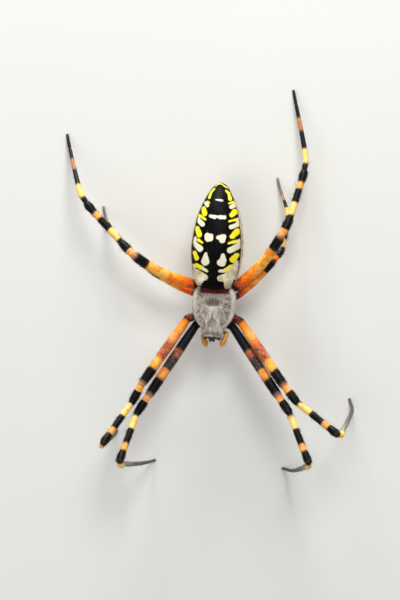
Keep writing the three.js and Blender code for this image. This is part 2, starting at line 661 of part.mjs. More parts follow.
function buildLeg(pair, side, sign) {
  const { stout, femur } = LEG_PAIRS[pair];
  const { swell, bow } = FEMUR_FORM[pair];
  const [hip, knee, shin, heel, wrist, tip] = legJoints(pair, side, sign);
  const label = `leg_${pair}_${side}`;
  const up = new THREE.Vector3(0, 0, 1);
  const balls = Object.fromEntries(Object.entries(JOINT_RADII).map(([name, radius]) => (
    [name, Math.max(LEAST_RADIUS, radius * stout)])));
  const addSegment = (part, from, to, radii, nearBall, farBall, forwards = 0) => {
    const way = to.clone().sub(from);
    const length = way.length();
    way.normalize();
    const across = up.clone().cross(way).normalize();
    const aside = new THREE.Vector3(-Math.sign(across.y) * forwards, 0, 0);
    const geometry = segmentGeometry(length, radii, stout, nearBall, farBall, aside);
    const mesh = addNode(`${label}_${part}`, geometry, MATERIALS[part]);
    mesh.position.copy(from);
    aim(mesh, way, up);
  };
  const root = new THREE.Vector3(...COXAE[pair].root);
  root.x *= sign;
  addSegment('coxa', root, hip, COXA_RADII, 0, balls.hip);
  const femurRadii = FEMUR_RADII.map((radius, ring) => (
    radius * THREE.MathUtils.lerp(swell, 1, Math.min(1, ring / FEMUR_SWELL_RINGS))));
  addSegment('femur', hip, knee, femurRadii, balls.hip, balls.knee, bow * femur);
  addSegment('patella', knee, shin, PATELLA_RADII, balls.knee, balls.shin);
  addSegment('tibia', shin, heel, TIBIA_RADII, balls.shin, balls.heel);
  const tibiaWay = heel.clone().sub(shin).normalize();
  addNode(`${label}_foot`, footGeometry(heel, wrist, tip, tibiaWay, balls.heel, stout), MATERIALS.foot);
}

// ---------------------------------------------------------------- the whole animal

buildCarapaceAndEyes();
buildSternum();
buildPedicel();
buildAbdomen();
buildSpinnerets();
for (const [side, sign] of [['left', 1], ['right', -1]]) {
  buildChelicera(side, sign);
  buildPalp(side, sign);
  for (const pair of [1, 2, 3, 4]) {
    buildLeg(pair, side, sign);
  }
}

// The origin is on the floor, under the middle of the box round the whole animal.
animal.updateMatrixWorld(true);
const box = new THREE.Box3().setFromObject(animal, true);
const middle = box.getCenter(new THREE.Vector3());
animal.position.set(-middle.x, -middle.y, -box.min.z);

export default animal;
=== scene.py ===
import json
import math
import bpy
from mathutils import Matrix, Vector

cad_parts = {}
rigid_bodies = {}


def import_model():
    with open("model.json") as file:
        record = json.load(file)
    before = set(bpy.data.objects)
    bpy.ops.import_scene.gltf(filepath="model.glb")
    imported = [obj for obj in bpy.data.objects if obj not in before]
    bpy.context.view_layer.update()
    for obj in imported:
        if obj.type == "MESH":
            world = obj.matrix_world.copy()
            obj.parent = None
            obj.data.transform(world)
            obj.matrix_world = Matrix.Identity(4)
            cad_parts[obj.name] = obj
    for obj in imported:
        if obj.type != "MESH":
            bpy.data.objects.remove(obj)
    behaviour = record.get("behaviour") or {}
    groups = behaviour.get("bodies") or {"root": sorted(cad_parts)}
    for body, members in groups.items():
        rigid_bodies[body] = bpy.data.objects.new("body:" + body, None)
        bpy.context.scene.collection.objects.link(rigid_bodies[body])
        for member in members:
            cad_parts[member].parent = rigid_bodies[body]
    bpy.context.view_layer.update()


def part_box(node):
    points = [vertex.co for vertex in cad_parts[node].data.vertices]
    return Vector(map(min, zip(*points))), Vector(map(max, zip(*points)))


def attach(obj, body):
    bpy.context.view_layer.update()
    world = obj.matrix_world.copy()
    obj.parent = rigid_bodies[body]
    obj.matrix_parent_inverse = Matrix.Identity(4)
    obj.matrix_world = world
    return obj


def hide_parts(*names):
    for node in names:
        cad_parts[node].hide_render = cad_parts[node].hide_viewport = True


bl_info = {
    "name": "Yellow garden spider",
    "version": (1, 0, 0),
    "blender": (4, 5, 0),
    "location": "3D View > Sidebar > Spider",
    "description": "Skin, coat, eyes, fangs and claws of a life-size orb weaver on a pale studio floor",
    "category": "Add Mesh",
}

from collections import namedtuple

import bpy
import numpy as np
from bpy.props import FloatProperty, FloatVectorProperty, IntProperty, PointerProperty
from bpy.types import Operator, Panel, PropertyGroup
from mathutils import Matrix, Vector
from mathutils.kdtree import KDTree

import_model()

# ---------- sizes of the body
# The body is measured in millimetres from a point on the floor under its middle, with the head
# towards -Y, the tail towards +Y and the animal's left towards +X. The box of the carapace in
# model.glb gives where that point stands in the scene, which is in metres.

MM = 0.001
CARAPACE_REAR = 3.06
_low, _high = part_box("carapace")
STANDS_AT = np.array([(_low.x + _high.x) / 2, _high.y - CARAPACE_REAR * MM, 0.0])

SKIN_DEPTH = 0.03  # how far the skin lies under the outline of the coat
SIDES = {"left": 1, "right": -1}
END_ROUNDNESS = 0.6  # how far the end of a tube bulges, by its radius there

CARAPACE = {
    "front": -4.35, "thorax": 0.35, "thorax_half": 3.05, "rear_reach": 3.1, "front_reach": 3.55,
    "head_half": 1.57, "corner_power": 9, "corner_rounding": 0.4, "head_margin": 1.01, "neck_power": 6,
    "rear_power": 3.8,
    "under": 7.0, "rim": 7.3, "crown": 8.95, "crown_run": 3.6, "crown_power": 0.75, "rear_lift": 0.08,
    "brow_run": 1.3, "brow_drop": 0.62, "brow_power": 1.5, "dome_power": 0.85,
}
FOVEA = {"y": 0.85, "radius": 0.55, "depth": 0.28}
NECK_GROOVE = {"x": 1.75, "y": -2.5, "width": 0.3, "depth": 0.2, "curve": 0.8}
SPOKE_GROOVES = {"degrees": (-58, -28, 4, 36), "width": 9.0, "depth": 0.07, "from": 0.6, "to": 2.7,
                 "fade": 0.8}
# Its rings crowd towards both ends, as a cosine does from a first angle in radians.
CARAPACE_MESH = {"rings": 100, "over": 76, "first_angle": 0.12}
CARAPACE_UNDER = (  # across its underside: share of the half width, and lift
    (-1.0, 0.16), (-0.94, 0.03), (-0.7, 0), (-0.4, 0), (-0.1, 0), (0.2, 0), (0.5, 0), (0.8, 0), (0.94, 0.03),
    (1.0, 0.16),
)
CARAPACE_ENDS = ((0.55, 0.07), (0.85, 0.04))  # rings that close its ends: size, and how far out
CARAPACE_TIP = 0.08  # how far the point that closes each end stands beyond its middle
EYES = {
    "rear_median": (0.34, -4.02, 8.36, 0.17),
    "front_median": (0.26, -4.6, 7.98, 0.16),
    "rear_lateral": (1.1, -4.12, 8.02, 0.13),
    "front_lateral": (1.02, -4.42, 7.72, 0.13),
}
HEAD_MIDDLE = (0.0, -3.6, 7.6)
EYE_COLLAR = ((-0.9, 0.7), (-0.5, 1.1), (0.0, 1.2), (0.2, 1.16), (0.3, 1.04), (0.28, 0.9))  # out and wide
EYE_MOUNDS = ((0.0, -4.26, 7.98, 0.44), (1.0, -4.2, 7.82, 0.3), (-1.0, -4.2, 7.82, 0.3))

# Sections of the abdomen from waist to tail: top (y, z), bottom (y, z), half width, and how far
# down from the top it is widest.
ABDOMEN = (
    ((3.05, 7.55), (4.5, 5.6), 1.8, 0.42), ((2.62, 8.75), (5.0, 4.8), 2.6, 0.36),
    ((3.2, 9.75), (5.9, 4.0), 3.05, 0.38), ((4.9, 10.4), (7.1, 3.5), 3.42, 0.44),
    ((7.4, 10.7), (8.8, 3.2), 3.66, 0.47), ((10.2, 10.45), (11.0, 3.15), 3.48, 0.48),
    ((12.9, 9.7), (13.1, 3.35), 3.02, 0.49), ((15.3, 8.5), (14.9, 3.8), 2.2, 0.49),
    ((16.9, 7.1), (16.4, 4.4), 1.32, 0.5), ((17.45, 6.3), (17.2, 4.9), 0.74, 0.5),
)
WAIST = (0.0, 4.05, 6.3)
TAIL = (0.0, 17.68, 5.55)
FULLNESS = 0.9  # under 1 makes the abdomen's sections squarer than an oval
SHOULDER = {"x": 1.95, "y": 3.45, "radius": 0.75, "height": 0.38, "forward": 0.4}
ABDOMEN_RINGS, ABDOMEN_SIDES = 150, 132
SPINNERETS = {"section": 0.8, "gap": 0.25, "lean": 0.35, "base": 0.72, "sunk": 0.5, "rise": 0.3,
              "start": 0.15}
SPINNERET_BASE = (0.8, 0.98, 0.92)  # sizes of their base, from the skin outwards
SPINNERET_TAPER = (1.0, 1.04, 0.98, 0.8, 0.5)  # and of each of them, by its radius
# Each pair: how far aside and back they stand, radius, length and the degrees that they splay.
SPINNERET_PAIRS = ((0.36, -0.3, 0.28, 1.0, 8), (0.2, 0.08, 0.15, 0.65, 4), (0.34, 0.38, 0.25, 0.95, 10))
EPIGYNE = (0.0, 6.55, 3.88)
EPIGYNE_SIZE = (0.62, 0.5, 0.3)
SCAPE = ((0, 0, 0), (0, 0.35, -0.28), (0, 0.75, -0.3))  # the hook of the epigyne, from its middle
SCAPE_RADII = (0.26, 0.2, 0.12)
STALK = ((0, 1.2, 6.1), (0, 2.6, 6.1), (0, 4.5, 6.45))  # from the carapace to the waist
STALK_RADII = (0.36, 0.4, 0.36, 0.4)

CHELICERA = ((0.56, -3.75, 7.0), (0.56, -3.75, 6.53), (0.56, -4.0, 5.6), (0.6, -3.8, 4.55))
CHELICERA_RADII = (0.34, 0.36, 0.44, 0.48, 0.47, 0.4, 0.26)
FANG_RADIUS = 0.12
PALPS = {
    "left": ((0.75, -2.75, 4.8), (1.3, -3.35, 5.15), (1.82, -3.62, 6.2), (1.72, -4.08, 6.42),
             (1.44, -4.65, 6.1), (1.14, -5.2, 5.4)),
    "right": ((0.75, -2.75, 4.8), (1.22, -3.3, 4.85), (1.48, -3.85, 5.3), (1.4, -4.4, 5.75),
              (1.14, -4.95, 5.7), (1.0, -5.27, 5.25)),
}
PALP_RADII = (0.36, 0.33, 0.3, 0.31, 0.31, 0.34, 0.41, 0.42, 0.25)
PALP_JOINTS = (0.2, 0.43, 0.55, 0.7)
PALP_GROOVE = (0.16, 0.016)  # depth by the radius, and width by the palp's length
# The sternum and the soft core over it: heights from below upwards, and sizes by the sternum's.
STERNUM = {"half_width": 1.5, "half_length": 1.85, "narrowing": 0.22, "y": -0.05, "bottom": 4.24, "top": 7.5,
           "lobes": 0.035, "folds": 0.018, "folds_from": 4.9, "rings": 34, "sides": 44}
CORE_LEVELS = (4.2, 4.22, 4.28, 4.4, 4.55, 4.75, 4.95, 5.3, 5.8, 6.3, 6.8, 7.2, 7.5)
CORE_SIZES = (0.3, 0.6, 0.82, 0.95, 1.0, 0.94, 0.78, 0.7, 0.8, 0.9, 0.98, 1.0, 0.9)
ENDITE = ((0.66, -2.8, 4.65), (0.38, 0.5, 0.33))
LABIUM = ((0.0, -2.05, 4.5), (0.36, 0.5, 0.22))

# Lengths of femur, patella, tibia, metatarsus and tarsus of the four pairs, and how stout each is.
LEG_LENGTHS = {
    1: (12.26, 2.9, 7.9, 10.9, 2.4), 2: (11.3, 3.0, 7.5, 10.45, 2.4),
    3: (7.1, 2.3, 4.6, 5.3, 1.7), 4: (9.9, 2.75, 7.65, 10.3, 2.2),
}
STOUT = {1: 1.0, 2: 1.0, 3: 0.73, 4: 1.03}
FEMUR_SWELL = {1: 1.0, 2: 1.0, 3: 1.12, 4: 1.22}  # how much thicker each femur is at the hip
FEMUR_BOW = {1: 0.0, 2: 0.0, 3: 0.02, 4: 0.058}  # how far it bows forwards, by its length
COXAE = {
    1: ((1.15, -1.95, 5.65), (2.55, -2.43, 5.4)), 2: ((1.3, -0.7, 5.8), (3.75, -1.7, 6.5)),
    3: ((1.3, 0.65, 5.5), (3.1, 1.9, 4.8)), 4: ((1.1, 1.95, 5.9), (2.8, 3.12, 6.1)),
}
# The stance: which way each of the five lengths heads (0 straight out sideways, 90 to the tail, -90
# to the head) and how high the four joints below the hip stand.
STANCE = {
    (1, "left"): ((-52.6, -52, -64, -150, 173), (8.4, 9.3, 12.3, 2.0)),
    (1, "right"): ((-60, -60, -76, -171, 163), (8.3, 8.8, 12.8, 2.3)),
    (2, "left"): ((-52, -48, -34, 68, 115), (9.0, 9.4, 11.8, 2.0)),
    (2, "right"): ((-59, -64, -60, 103, 106), (9.2, 9.0, 12.75, 2.32)),
    (3, "left"): ((46, 57, 84, 109, 110), (6.2, 5.0, 3.5, 0.8)),
    (3, "right"): ((25, 40, 43, 51, 72), (5.0, 5.0, 5.0, 0.75)),
    (4, "left"): ((50, 67, 78, 101, 105), (8.3, 7.5, 4.2, 0.95)),
    (4, "right"): ((23, 41, 44, 66, 73), (9.3, 8.3, 6.5, 1.1)),
}
LEG_PARTS = ("coxa", "femur", "patella", "tibia", "foot")
LEG_RADII = {  # of a second leg, from the near to the far end of each part
    "coxa": (0.45, 0.6, 0.66, 0.64, 0.57, 0.6),
    "femur": (0.57, 0.65, 0.7, 0.71, 0.7, 0.69, 0.65),
    "patella": (0.43, 0.56, 0.61, 0.58),
    "tibia": (0.41, 0.47, 0.48, 0.48, 0.48, 0.61),
    "foot": (0.35, 0.39, 0.38, 0.34, 0.31, 0.29, 0.27, 0.25, 0.22, 0.19),
}
JOINT_BALLS = {"coxa": 0.58, "femur": 0.55, "patella": 0.49, "tibia": 0.53}
JOINT_REACH = 0.7  # how far a ball's swelling reaches along its part, by its radius
LEG_SKIN = 0.6  # how far a leg's skin lies under its outline, by SKIN_DEPTH
LEG_CAPS = {"start": 0.8, "end": 1.0, "narrow_end": 0.9}  # how far the ends of its parts bulge
FOOT_LINE = {"rise": 0.16, "top": 0.55, "bow": 0.042, "top_bow": 0.034, "before_tip": 0.3,
             "before_tip_z": 0.42}
WRIST_GROOVE = (0.2, 0.008)  # depth by the radius, and width by the foot's length
THINNEST = 0.17  # least radius of a foot
HEEL_REACH = 0.75
TIP_HEIGHT = 0.2

# ---------- markings
# Pale marks on the back of the abdomen as tapering strokes, seen from above: x, y and radius of the
# one end, then of the other. The two sides differ a little, as in life.

WHITE_STROKES = (
    (-0.36, 15.16, 0.08, 0.5, 15.08, 0.12),  # bar near the tail
    (-0.95, 12.84, 0.18, -0.3, 12.7, 0.27), (0.42, 12.74, 0.26, 1.05, 12.72, 0.24),  # double bar
    (-0.3, 12.78, 0.1, 0.5, 12.8, 0.1),
    (-1.16, 10.05, 0.37, -1.09, 9.6, 0.38), (-0.69, 10.0, 0.34, -0.67, 9.63, 0.34),  # pair of spots
    (0.39, 9.88, 0.28, 0.98, 9.86, 0.46), (1.2, 10.06, 0.25, 0.99, 9.53, 0.42),
    (-1.24, 7.5, 0.2, -1.25, 6.46, 0.58),  # pair of drops
    (1.18, 7.42, 0.24, 1.23, 6.72, 0.46), (0.84, 6.38, 0.42, 1.13, 6.36, 0.48),
    (-1.87, 14.64, 0.2, -1.49, 14.26, 0.2), (1.81, 14.25, 0.26, 2.26, 14.58, 0.28),  # side patches
    (-2.52, 12.03, 0.31, -1.99, 11.62, 0.33), (-2.66, 12.42, 0.15, -2.58, 12.19, 0.17),
    (2.04, 11.41, 0.29, 2.85, 11.81, 0.28), (2.82, 12.62, 0.2, 2.93, 11.96, 0.24),
    (-2.78, 8.72, 0.34, -2.11, 8.19, 0.44), (-2.98, 9.66, 0.2, -3.0, 9.01, 0.24),
    (2.09, 8.16, 0.4, 3.02, 8.74, 0.38), (3.18, 9.61, 0.2, 3.14, 8.82, 0.3),
    (-1.61, 5.46, 0.22, -1.08, 5.2, 0.19), (0.78, 5.21, 0.17, 1.35, 5.25, 0.22),  # inner ends of bars
)
CREAM_STROKES = (  # shoulder patches
    (-3.05, 5.73, 0.29, -2.86, 4.19, 0.4), (-2.42, 4.98, 0.32, -1.23, 4.22, 0.41),
    (-2.47, 4.2, 0.45, -2.1, 3.4, 0.42), (-1.6, 4.0, 0.36, -1.75, 3.6, 0.24),
    (-2.3, 4.7, 0.4, -1.8, 4.2, 0.3), (2.1, 4.9, 0.5, 2.5, 5.2, 0.4),
    (0.92, 4.2, 0.42, 1.85, 4.36, 0.57), (2.1, 5.33, 0.42, 2.9, 6.02, 0.38),
    (2.95, 6.59, 0.24, 2.85, 4.62, 0.5), (2.02, 3.95, 0.62, 1.91, 3.09, 0.4),
)
YELLOW_STROKES = (
    (-0.71, 17.05, 0.04, -0.42, 17.42, 0.04), (-0.42, 17.42, 0.04, 0.07, 17.45, 0.04),  # tail rim
    (0.07, 17.45, 0.04, 0.99, 16.89, 0.04),
    (-0.83, 16.67, 0.1, -1.22, 16.19, 0.13), (-1.22, 16.19, 0.13, -1.37, 15.42, 0.17),  # arcs
    (0.89, 16.45, 0.12, 1.27, 16.15, 0.15), (1.27, 16.15, 0.15, 1.55, 15.34, 0.21),
    (-1.6, 14.89, 0.1, -1.24, 14.69, 0.07), (1.44, 14.7, 0.08, 1.83, 14.9, 0.11),
    (1.83, 14.9, 0.11, 2.22, 14.92, 0.17),
    (-2.05, 13.8, 0.33, -1.8, 13.13, 0.35), (1.98, 13.11, 0.31, 2.34, 13.58, 0.38),  # spots
    (-2.64, 12.88, 0.18, -1.6, 12.29, 0.12), (1.7, 12.21, 0.12, 2.56, 12.48, 0.15),  # bars
    (-2.76, 11.02, 0.31, -2.37, 10.16, 0.4), (2.28, 10.12, 0.34, 2.87, 10.85, 0.4),
    (-2.47, 9.42, 0.2, -1.82, 9.05, 0.13), (1.87, 9.15, 0.15, 2.9, 9.48, 0.21),
    (-2.94, 7.63, 0.27, -2.55, 6.85, 0.34), (2.48, 6.9, 0.39, 3.0, 7.51, 0.31),
    (-2.56, 5.87, 0.27, -1.69, 5.5, 0.26), (-0.97, 5.14, 0.14, -0.93, 5.11, 0.14),
    (1.6, 5.38, 0.24, 2.34, 5.8, 0.35),
)
MARK_PACE = 2.9  # from one pair of marks to the next
MARK_BLUR = 0.3  # over which one colour of mark runs into another
# The silver flank lies between a dark line and a wavy lower edge, given in degrees round the abdomen.
FLANK = {"line": 19.5, "line_half": 2.6, "climbs_from": 13, "climb": 0.5, "ends_at": 16.4, "bottom": -34.0,
         "front": 5.5, "front_rise": 8.8, "wave": 7.0, "waves": 1.15, "mm_per_degree": 0.062}
BELLY_STROKES = (  # on both sides of the belly's middle
    (0.72, 6.7, 0.14, 1.08, 8.3, 0.27), (1.08, 8.3, 0.27, 1.0, 10.9, 0.22),
    (1.0, 10.9, 0.22, 0.7, 12.9, 0.12), (0.42, 8.6, 0.06, 0.44, 8.8, 0.07),
    (0.4, 10.4, 0.06, 0.4, 10.55, 0.07), (0.5, 13.6, 0.08, 0.46, 13.75, 0.08),
)
BELLY_BELOW = -52.0  # the turn below which they lie
# Pale lines of down on the head and round the middle of the carapace, as strokes.
DOWN_STROKES = (
    (-1.3, 0.22, 0.0, -0.1, 0.02, 0.2), (-0.1, 0.02, 0.2, 1.3, 0.2, 0.0),  # star
    (-0.1, -0.1, 0.09, -0.5, -0.85, 0.0), (0.08, -0.1, 0.09, 0.5, -0.85, 0.0),
    (0.3, 0.0, 0.08, 1.0, -0.45, 0.0), (-0.3, 0.0, 0.08, -1.0, -0.4, 0.0),
    (-0.22, -1.05, 0.03, -0.72, -1.6, 0.06), (-0.72, -1.6, 0.06, -0.88, -2.1, 0.05),  # sides of the head
    (-0.88, -2.1, 0.05, -0.7, -2.6, 0.0), (0.22, -1.05, 0.03, 0.62, -1.6, 0.06),
    (0.62, -1.6, 0.06, 0.92, -2.2, 0.1), (0.92, -2.2, 0.1, 1.05, -3.1, 0.0),
    (-0.55, -3.82, 0.09, 0.1, -3.86, 0.09), (0.95, -3.95, 0.07, 1.1, -4.05, 0.04),  # behind the eyes
    (-1.2, -3.9, 0.08, -1.3, -4.0, 0.06),
)
# Painted shade on the carapace, as strokes: in the fovea, on the head and across it behind the eyes.
SHADE_STROKES = (
    (-0.4, 0.8, 0.42, 0.5, 0.82, 0.42), (-0.08, -1.02, 0.04, -0.1, -1.5, 0.12),
    (-0.5, -1.9, 0.14, -0.45, -2.5, 0.14), (-0.85, -3.4, 0.05, 0.95, -3.5, 0.08),
)

# Colour bands of each leg: where each begins, counted in parts from the body (coxa 0 to 1, femur 1
# to 2, patella, tibia, metatarsus and tarsus), and its colour. The one before a "~" runs into it slowly.
# The narrow pinkish band where a femur of pairs 1, 2 and 4 meets its patella is a painted highlight at the
# knee.
BANDS = {
    1: ((0, "black"), (1.0, "slate"), (1.36, "rust"), (1.456, "grey"), (1.631, "amber"), (1.76, "black"),
        (1.958, "blush"), (2.0, "amber"), (2.33, "black"), (3.08, "straw"), (3.34, "black"), (3.65, "amber"),
        (3.79, "black"), (4.02, "straw"), (4.13, "ash"), (4.5, "~dusk"), (4.86, "~tip")),
    2: ((0, "maroon"), (1.03, "orange"), (1.26, "~amber"), (1.4, "~red"), (1.61, "gold"), (1.76, "black"),
        (1.965, "blush"), (2.0, "amber"), (2.36, "black"), (3.05, "straw"), (3.34, "black"), (3.65, "amber"),
        (3.79, "black"), (4.02, "straw"), (4.13, "ash"), (4.5, "~dusk"), (4.86, "~tip")),
    3: ((0, "maroon"), (1.04, "ember"), (1.22, "~orange"), (1.5, "~gold"), (1.74, "black"), (2.02, "orange"),
        (2.4, "black"), (3.1, "straw"), (3.36, "black"), (3.64, "amber"), (3.78, "black"), (4.12, "straw"),
        (4.36, "slate"), (4.62, "brown"), (4.8, "dusk")),
    4: ((0, "maroon"), (1.05, "ember"), (1.22, "~orange"), (1.5, "~gold"), (1.77, "black"), (1.97, "blush"),
        (2.0, "amber"), (2.38, "black"), (3.08, "straw"), (3.34, "black"), (3.63, "amber"), (3.77, "black"),
        (4.05, "slate"), (4.13, "straw"), (4.34, "slate"), (4.61, "brown"), (4.8, "slate")),
}
LEG_COLOURS = {
    "black": (3, 3, 4), "slate": (16, 17, 26), "grey": (58, 52, 52), "maroon": (74, 22, 14),
    "rust": (190, 106, 60), "red": (202, 104, 58), "ember": (238, 98, 8), "orange": (252, 132, 14),
    "gold": (253, 188, 80), "amber": (250, 170, 82), "straw": (255, 208, 116), "brown": (176, 118, 70),
    "blush": (132, 92, 88), "ash": (168, 162, 146), "dusk": (112, 104, 100), "tip": (84, 80, 76),
}
# Where each pair's femora are flecked, how strongly, and where they are mottled with brown.
FLECKS = {1: (1.355, 1.742, 0.9), 2: (1.04, 1.74, 0.9), 3: (1.06, 1.72, 0.7), 4: (1.06, 1.76, 0.7)}
MOTTLES = {1: (1.346, 1.63, (62, 46, 44)), 2: (1.34, 1.63, (104, 46, 44)), 3: (1.0, 1.13, (140, 54, 24)),
           4: (1.0, 1.16, (140, 54, 24))}
FLAME = {1: 0.3, 2: 0.3, 3: 0.62, 4: 0.62}  # how strongly the femora are clouded with flame
COXA_GLOW = {1: 0.04, 2: 1.0, 3: 1.0, 4: 1.0}  # how much of the coxae is paler than maroon
PARTS_IN_ALL = 6
BAND_EDGE = 0.0022  # half the width of a band's edge, by the length of the leg
# Colours that the patterns are mixed from, besides those that a user sets.
INKS = {
    "cream": (240, 234, 210), "dull cream": (206, 192, 156), "cream shade": (176, 154, 122),
    "lemon": (255, 244, 80), "grain": (238, 226, 190), "olive": (150, 120, 50), "black sheen": (10, 9, 12),
    "deep brown": (70, 36, 20), "soft brown": (104, 60, 32), "umber": (30, 18, 8),
    "gap": (108, 96, 82), "tuft": (244, 234, 222), "mauve": (182, 162, 172), "worn": (94, 82, 66),
    "lit strand": (246, 240, 232), "dark strand": (84, 72, 58), "hollow shade": (88, 72, 52),
    "star": (252, 246, 238), "rim": (255, 252, 242), "red cuticle": (134, 46, 26),
    "maroon cuticle": (84, 24, 16), "face": (22, 13, 11),
    "flame": (230, 84, 14), "honey": (255, 204, 108), "dust": (216, 170, 160), "coxa": (176, 92, 62),
    "fleck": (66, 20, 26), "blue sheen": (22, 20, 34),
    "dark under": (24, 15, 12), "brown under": (58, 34, 24), "streak": (232, 190, 62),
    "tan": (246, 214, 170), "hair shade": (196, 190, 180),
}

# ---------- settings of the add-on


def srgb(red, green, blue, alpha=1.0):
    """A colour given as 0 to 255 in each channel, in the linear values that shaders take."""
    levels = [level / 255 for level in (red, green, blue)]
    linear = [v / 12.92 if v <= 0.04045 else ((v + 0.055) / 1.055) ** 2.4 for v in levels]
    return (*linear, alpha)


def ink(name):
    return srgb(*INKS[name])


def colour_property(name, description, rgb):
    return FloatVectorProperty(name=name, description=description, subtype="COLOR", size=4, min=0, max=1,
                               default=srgb(*rgb))


class SpiderSkin(PropertyGroup):
    """Fineness and colours of the skin"""

    leg_sides: IntProperty(name="Leg sides", description="Faces round a leg", default=22, min=8, max=48)
    ring_step: FloatProperty(name="Ring step", description="Distance between the rings of a leg",
                             default=0.24 * MM, unit="LENGTH", precision=5)
    black: colour_property("Black", "Ground colour of the abdomen", (3, 3, 4))
    yellow: colour_property("Yellow", "Yellow marks", (255, 240, 24))
    white: colour_property("White", "White marks", (238, 233, 208))
    silver: colour_property("Silver", "Down of the carapace", (218, 207, 192))
    horn: colour_property("Horn", "Chelicerae and the parts of the mouth", (214, 150, 70))


class SpiderCoat(PropertyGroup):
    """Numbers and lengths of hairs"""

    carapace_hairs: IntProperty(name="Carapace hairs", description="Silvery hairs on the carapace",
                                default=10500, min=100)
    carapace_length: FloatProperty(name="Carapace hair", description="Length of a silvery hair",
                                   default=0.25 * MM, unit="LENGTH", precision=5)
    abdomen_hairs: IntProperty(name="Abdomen hairs", description="Short hairs on the abdomen",
                               default=7000, min=100)
    abdomen_length: FloatProperty(name="Abdomen hair", description="Length of a hair on the abdomen",
                                  default=0.22 * MM, unit="LENGTH", precision=5)
    leg_hairs: IntProperty(name="Leg hairs", description="Short hairs on the four legs of one side",
                           default=12000, min=100)
    leg_length: FloatProperty(name="Leg hair", description="Length of a hair on the legs",
                              default=0.3 * MM, unit="LENGTH", precision=5)
    face_bristles: IntProperty(name="Face bristles", description="Bristles on palps and chelicerae",
                               default=1700, min=50)


class SpiderStage(PropertyGroup):
    """Floor, lamps and camera"""

    floor: colour_property("Floor", "Colour of the studio floor", (226, 226, 222))
    lamp_power: FloatProperty(name="Lamp power", description="Power of the main lamp", default=0.62,
                              subtype="POWER", unit="POWER")
    camera_height: FloatProperty(name="Camera distance", description="From the body to the lens",
                                 default=0.6, unit="LENGTH")


# ---------- lines and closed surfaces


def unit(vectors):
    return vectors / np.maximum(np.linalg.norm(vectors, axis=-1, keepdims=True), 1e-12)


def smooth_line(points, share):
    """Points at shares 0 to 1 of a smooth curve through the given ones (centripetal Catmull-Rom)."""
    given = np.asarray(points, float)
    last = len(given) - 1
    padded = np.vstack([2 * given[0] - given[1], given, 2 * given[-1] - given[-2]])
    place = np.clip(np.asarray(share, float), 0, 1) * last
    low = np.minimum(place.astype(int), last - 1)
    u = (place - low)[..., None]
    p0, p1, p2, p3 = (padded[low + k] for k in range(4))
    d01, d12, d23 = (np.sqrt(np.linalg.norm(b - a, axis=-1, keepdims=True)) + 1e-9
                     for a, b in ((p0, p1), (p1, p2), (p2, p3)))
    slope1 = ((p1 - p0) / d01 - (p2 - p0) / (d01 + d12) + (p2 - p1) / d12) * d12
    slope2 = ((p2 - p1) / d12 - (p3 - p1) / (d12 + d23) + (p3 - p2) / d23) * d12
    cubic = 2 * (p1 - p2) + slope1 + slope2
    square = 3 * (p2 - p1) - 2 * slope1 - slope2
    return p1 + u * (slope1 + u * (square + u * cubic))


def smooth_row(row, share):
    """Values along a row of evenly spaced ones, smoothly between them."""
    spaced = np.column_stack([np.arange(len(row)), row])
    return smooth_line(spaced, share)[..., 1]


def even_line(points, step):
    """The smooth curve through points, cut into even steps, with the share of each of its points."""
    fine = np.linspace(0, 1, 600)
    curve = smooth_line(points, fine)
    run = np.concatenate([[0], np.cumsum(np.linalg.norm(np.diff(curve, axis=0), axis=1))])
    count = max(6, int(round(run[-1] / step)))
    wanted = np.linspace(0, run[-1], count + 1)
    line = np.column_stack([np.interp(wanted, run, curve[:, axis]) for axis in range(3)])
    return line, wanted / run[-1], np.interp(wanted, run, fine)


class Shell:
    """A closed surface of the body in millimetres, with values that each of its points keeps."""

    def __init__(self, rings, first, last, region, along, around, way):
        count, sides = rings.shape[:2]
        self.points = np.vstack([[first], rings.reshape(-1, 3), [last]])
        spread = lambda values: np.broadcast_to(values, (count, sides)).reshape(-1)
        along, around = spread(along), spread(around)
        self.along = np.concatenate([along[:1], along, along[-1:]])
        self.around = np.concatenate([[0.25], around, [0.25]])
        ways = np.broadcast_to(way, (count, sides, 3)).reshape(-1, 3)
        self.way = np.vstack([ways[:1], ways, ways[-1:]])
        self.region = np.full(len(self.points), REGIONS.index(region))
        self.faces = self._faces(count, sides)

    def _faces(self, count, sides):
        k = np.arange(sides)
        after = (k + 1) % sides
        start = 1 + np.arange(count)[:, None] * sides
        quads = np.stack([start[:-1] + k, start[:-1] + after, start[1:] + after, start[1:] + k], -1)
        end = len(self.points) - 1
        caps = [(0, b, a) for a, b in zip(start[0] + k, start[0] + after)]
        caps += [(end, a, b) for a, b in zip(start[-1] + k, start[-1] + after)]
        faces = quads.reshape(-1, 4).tolist() + [tuple(int(v) for v in cap) for cap in caps]
        volume = sum(np.dot(self.points[f[0]], np.cross(self.points[f[i]], self.points[f[i + 1]]))
                     for f in faces for i in range(1, len(f) - 1))
        return faces if volume > 0 else [tuple(reversed(f)) for f in faces]


REGIONS = ("carapace", "underside", "abdomen", "spinneret", "chelicera", "palp",
           "leg_1", "leg_2", "leg_3", "leg_4")


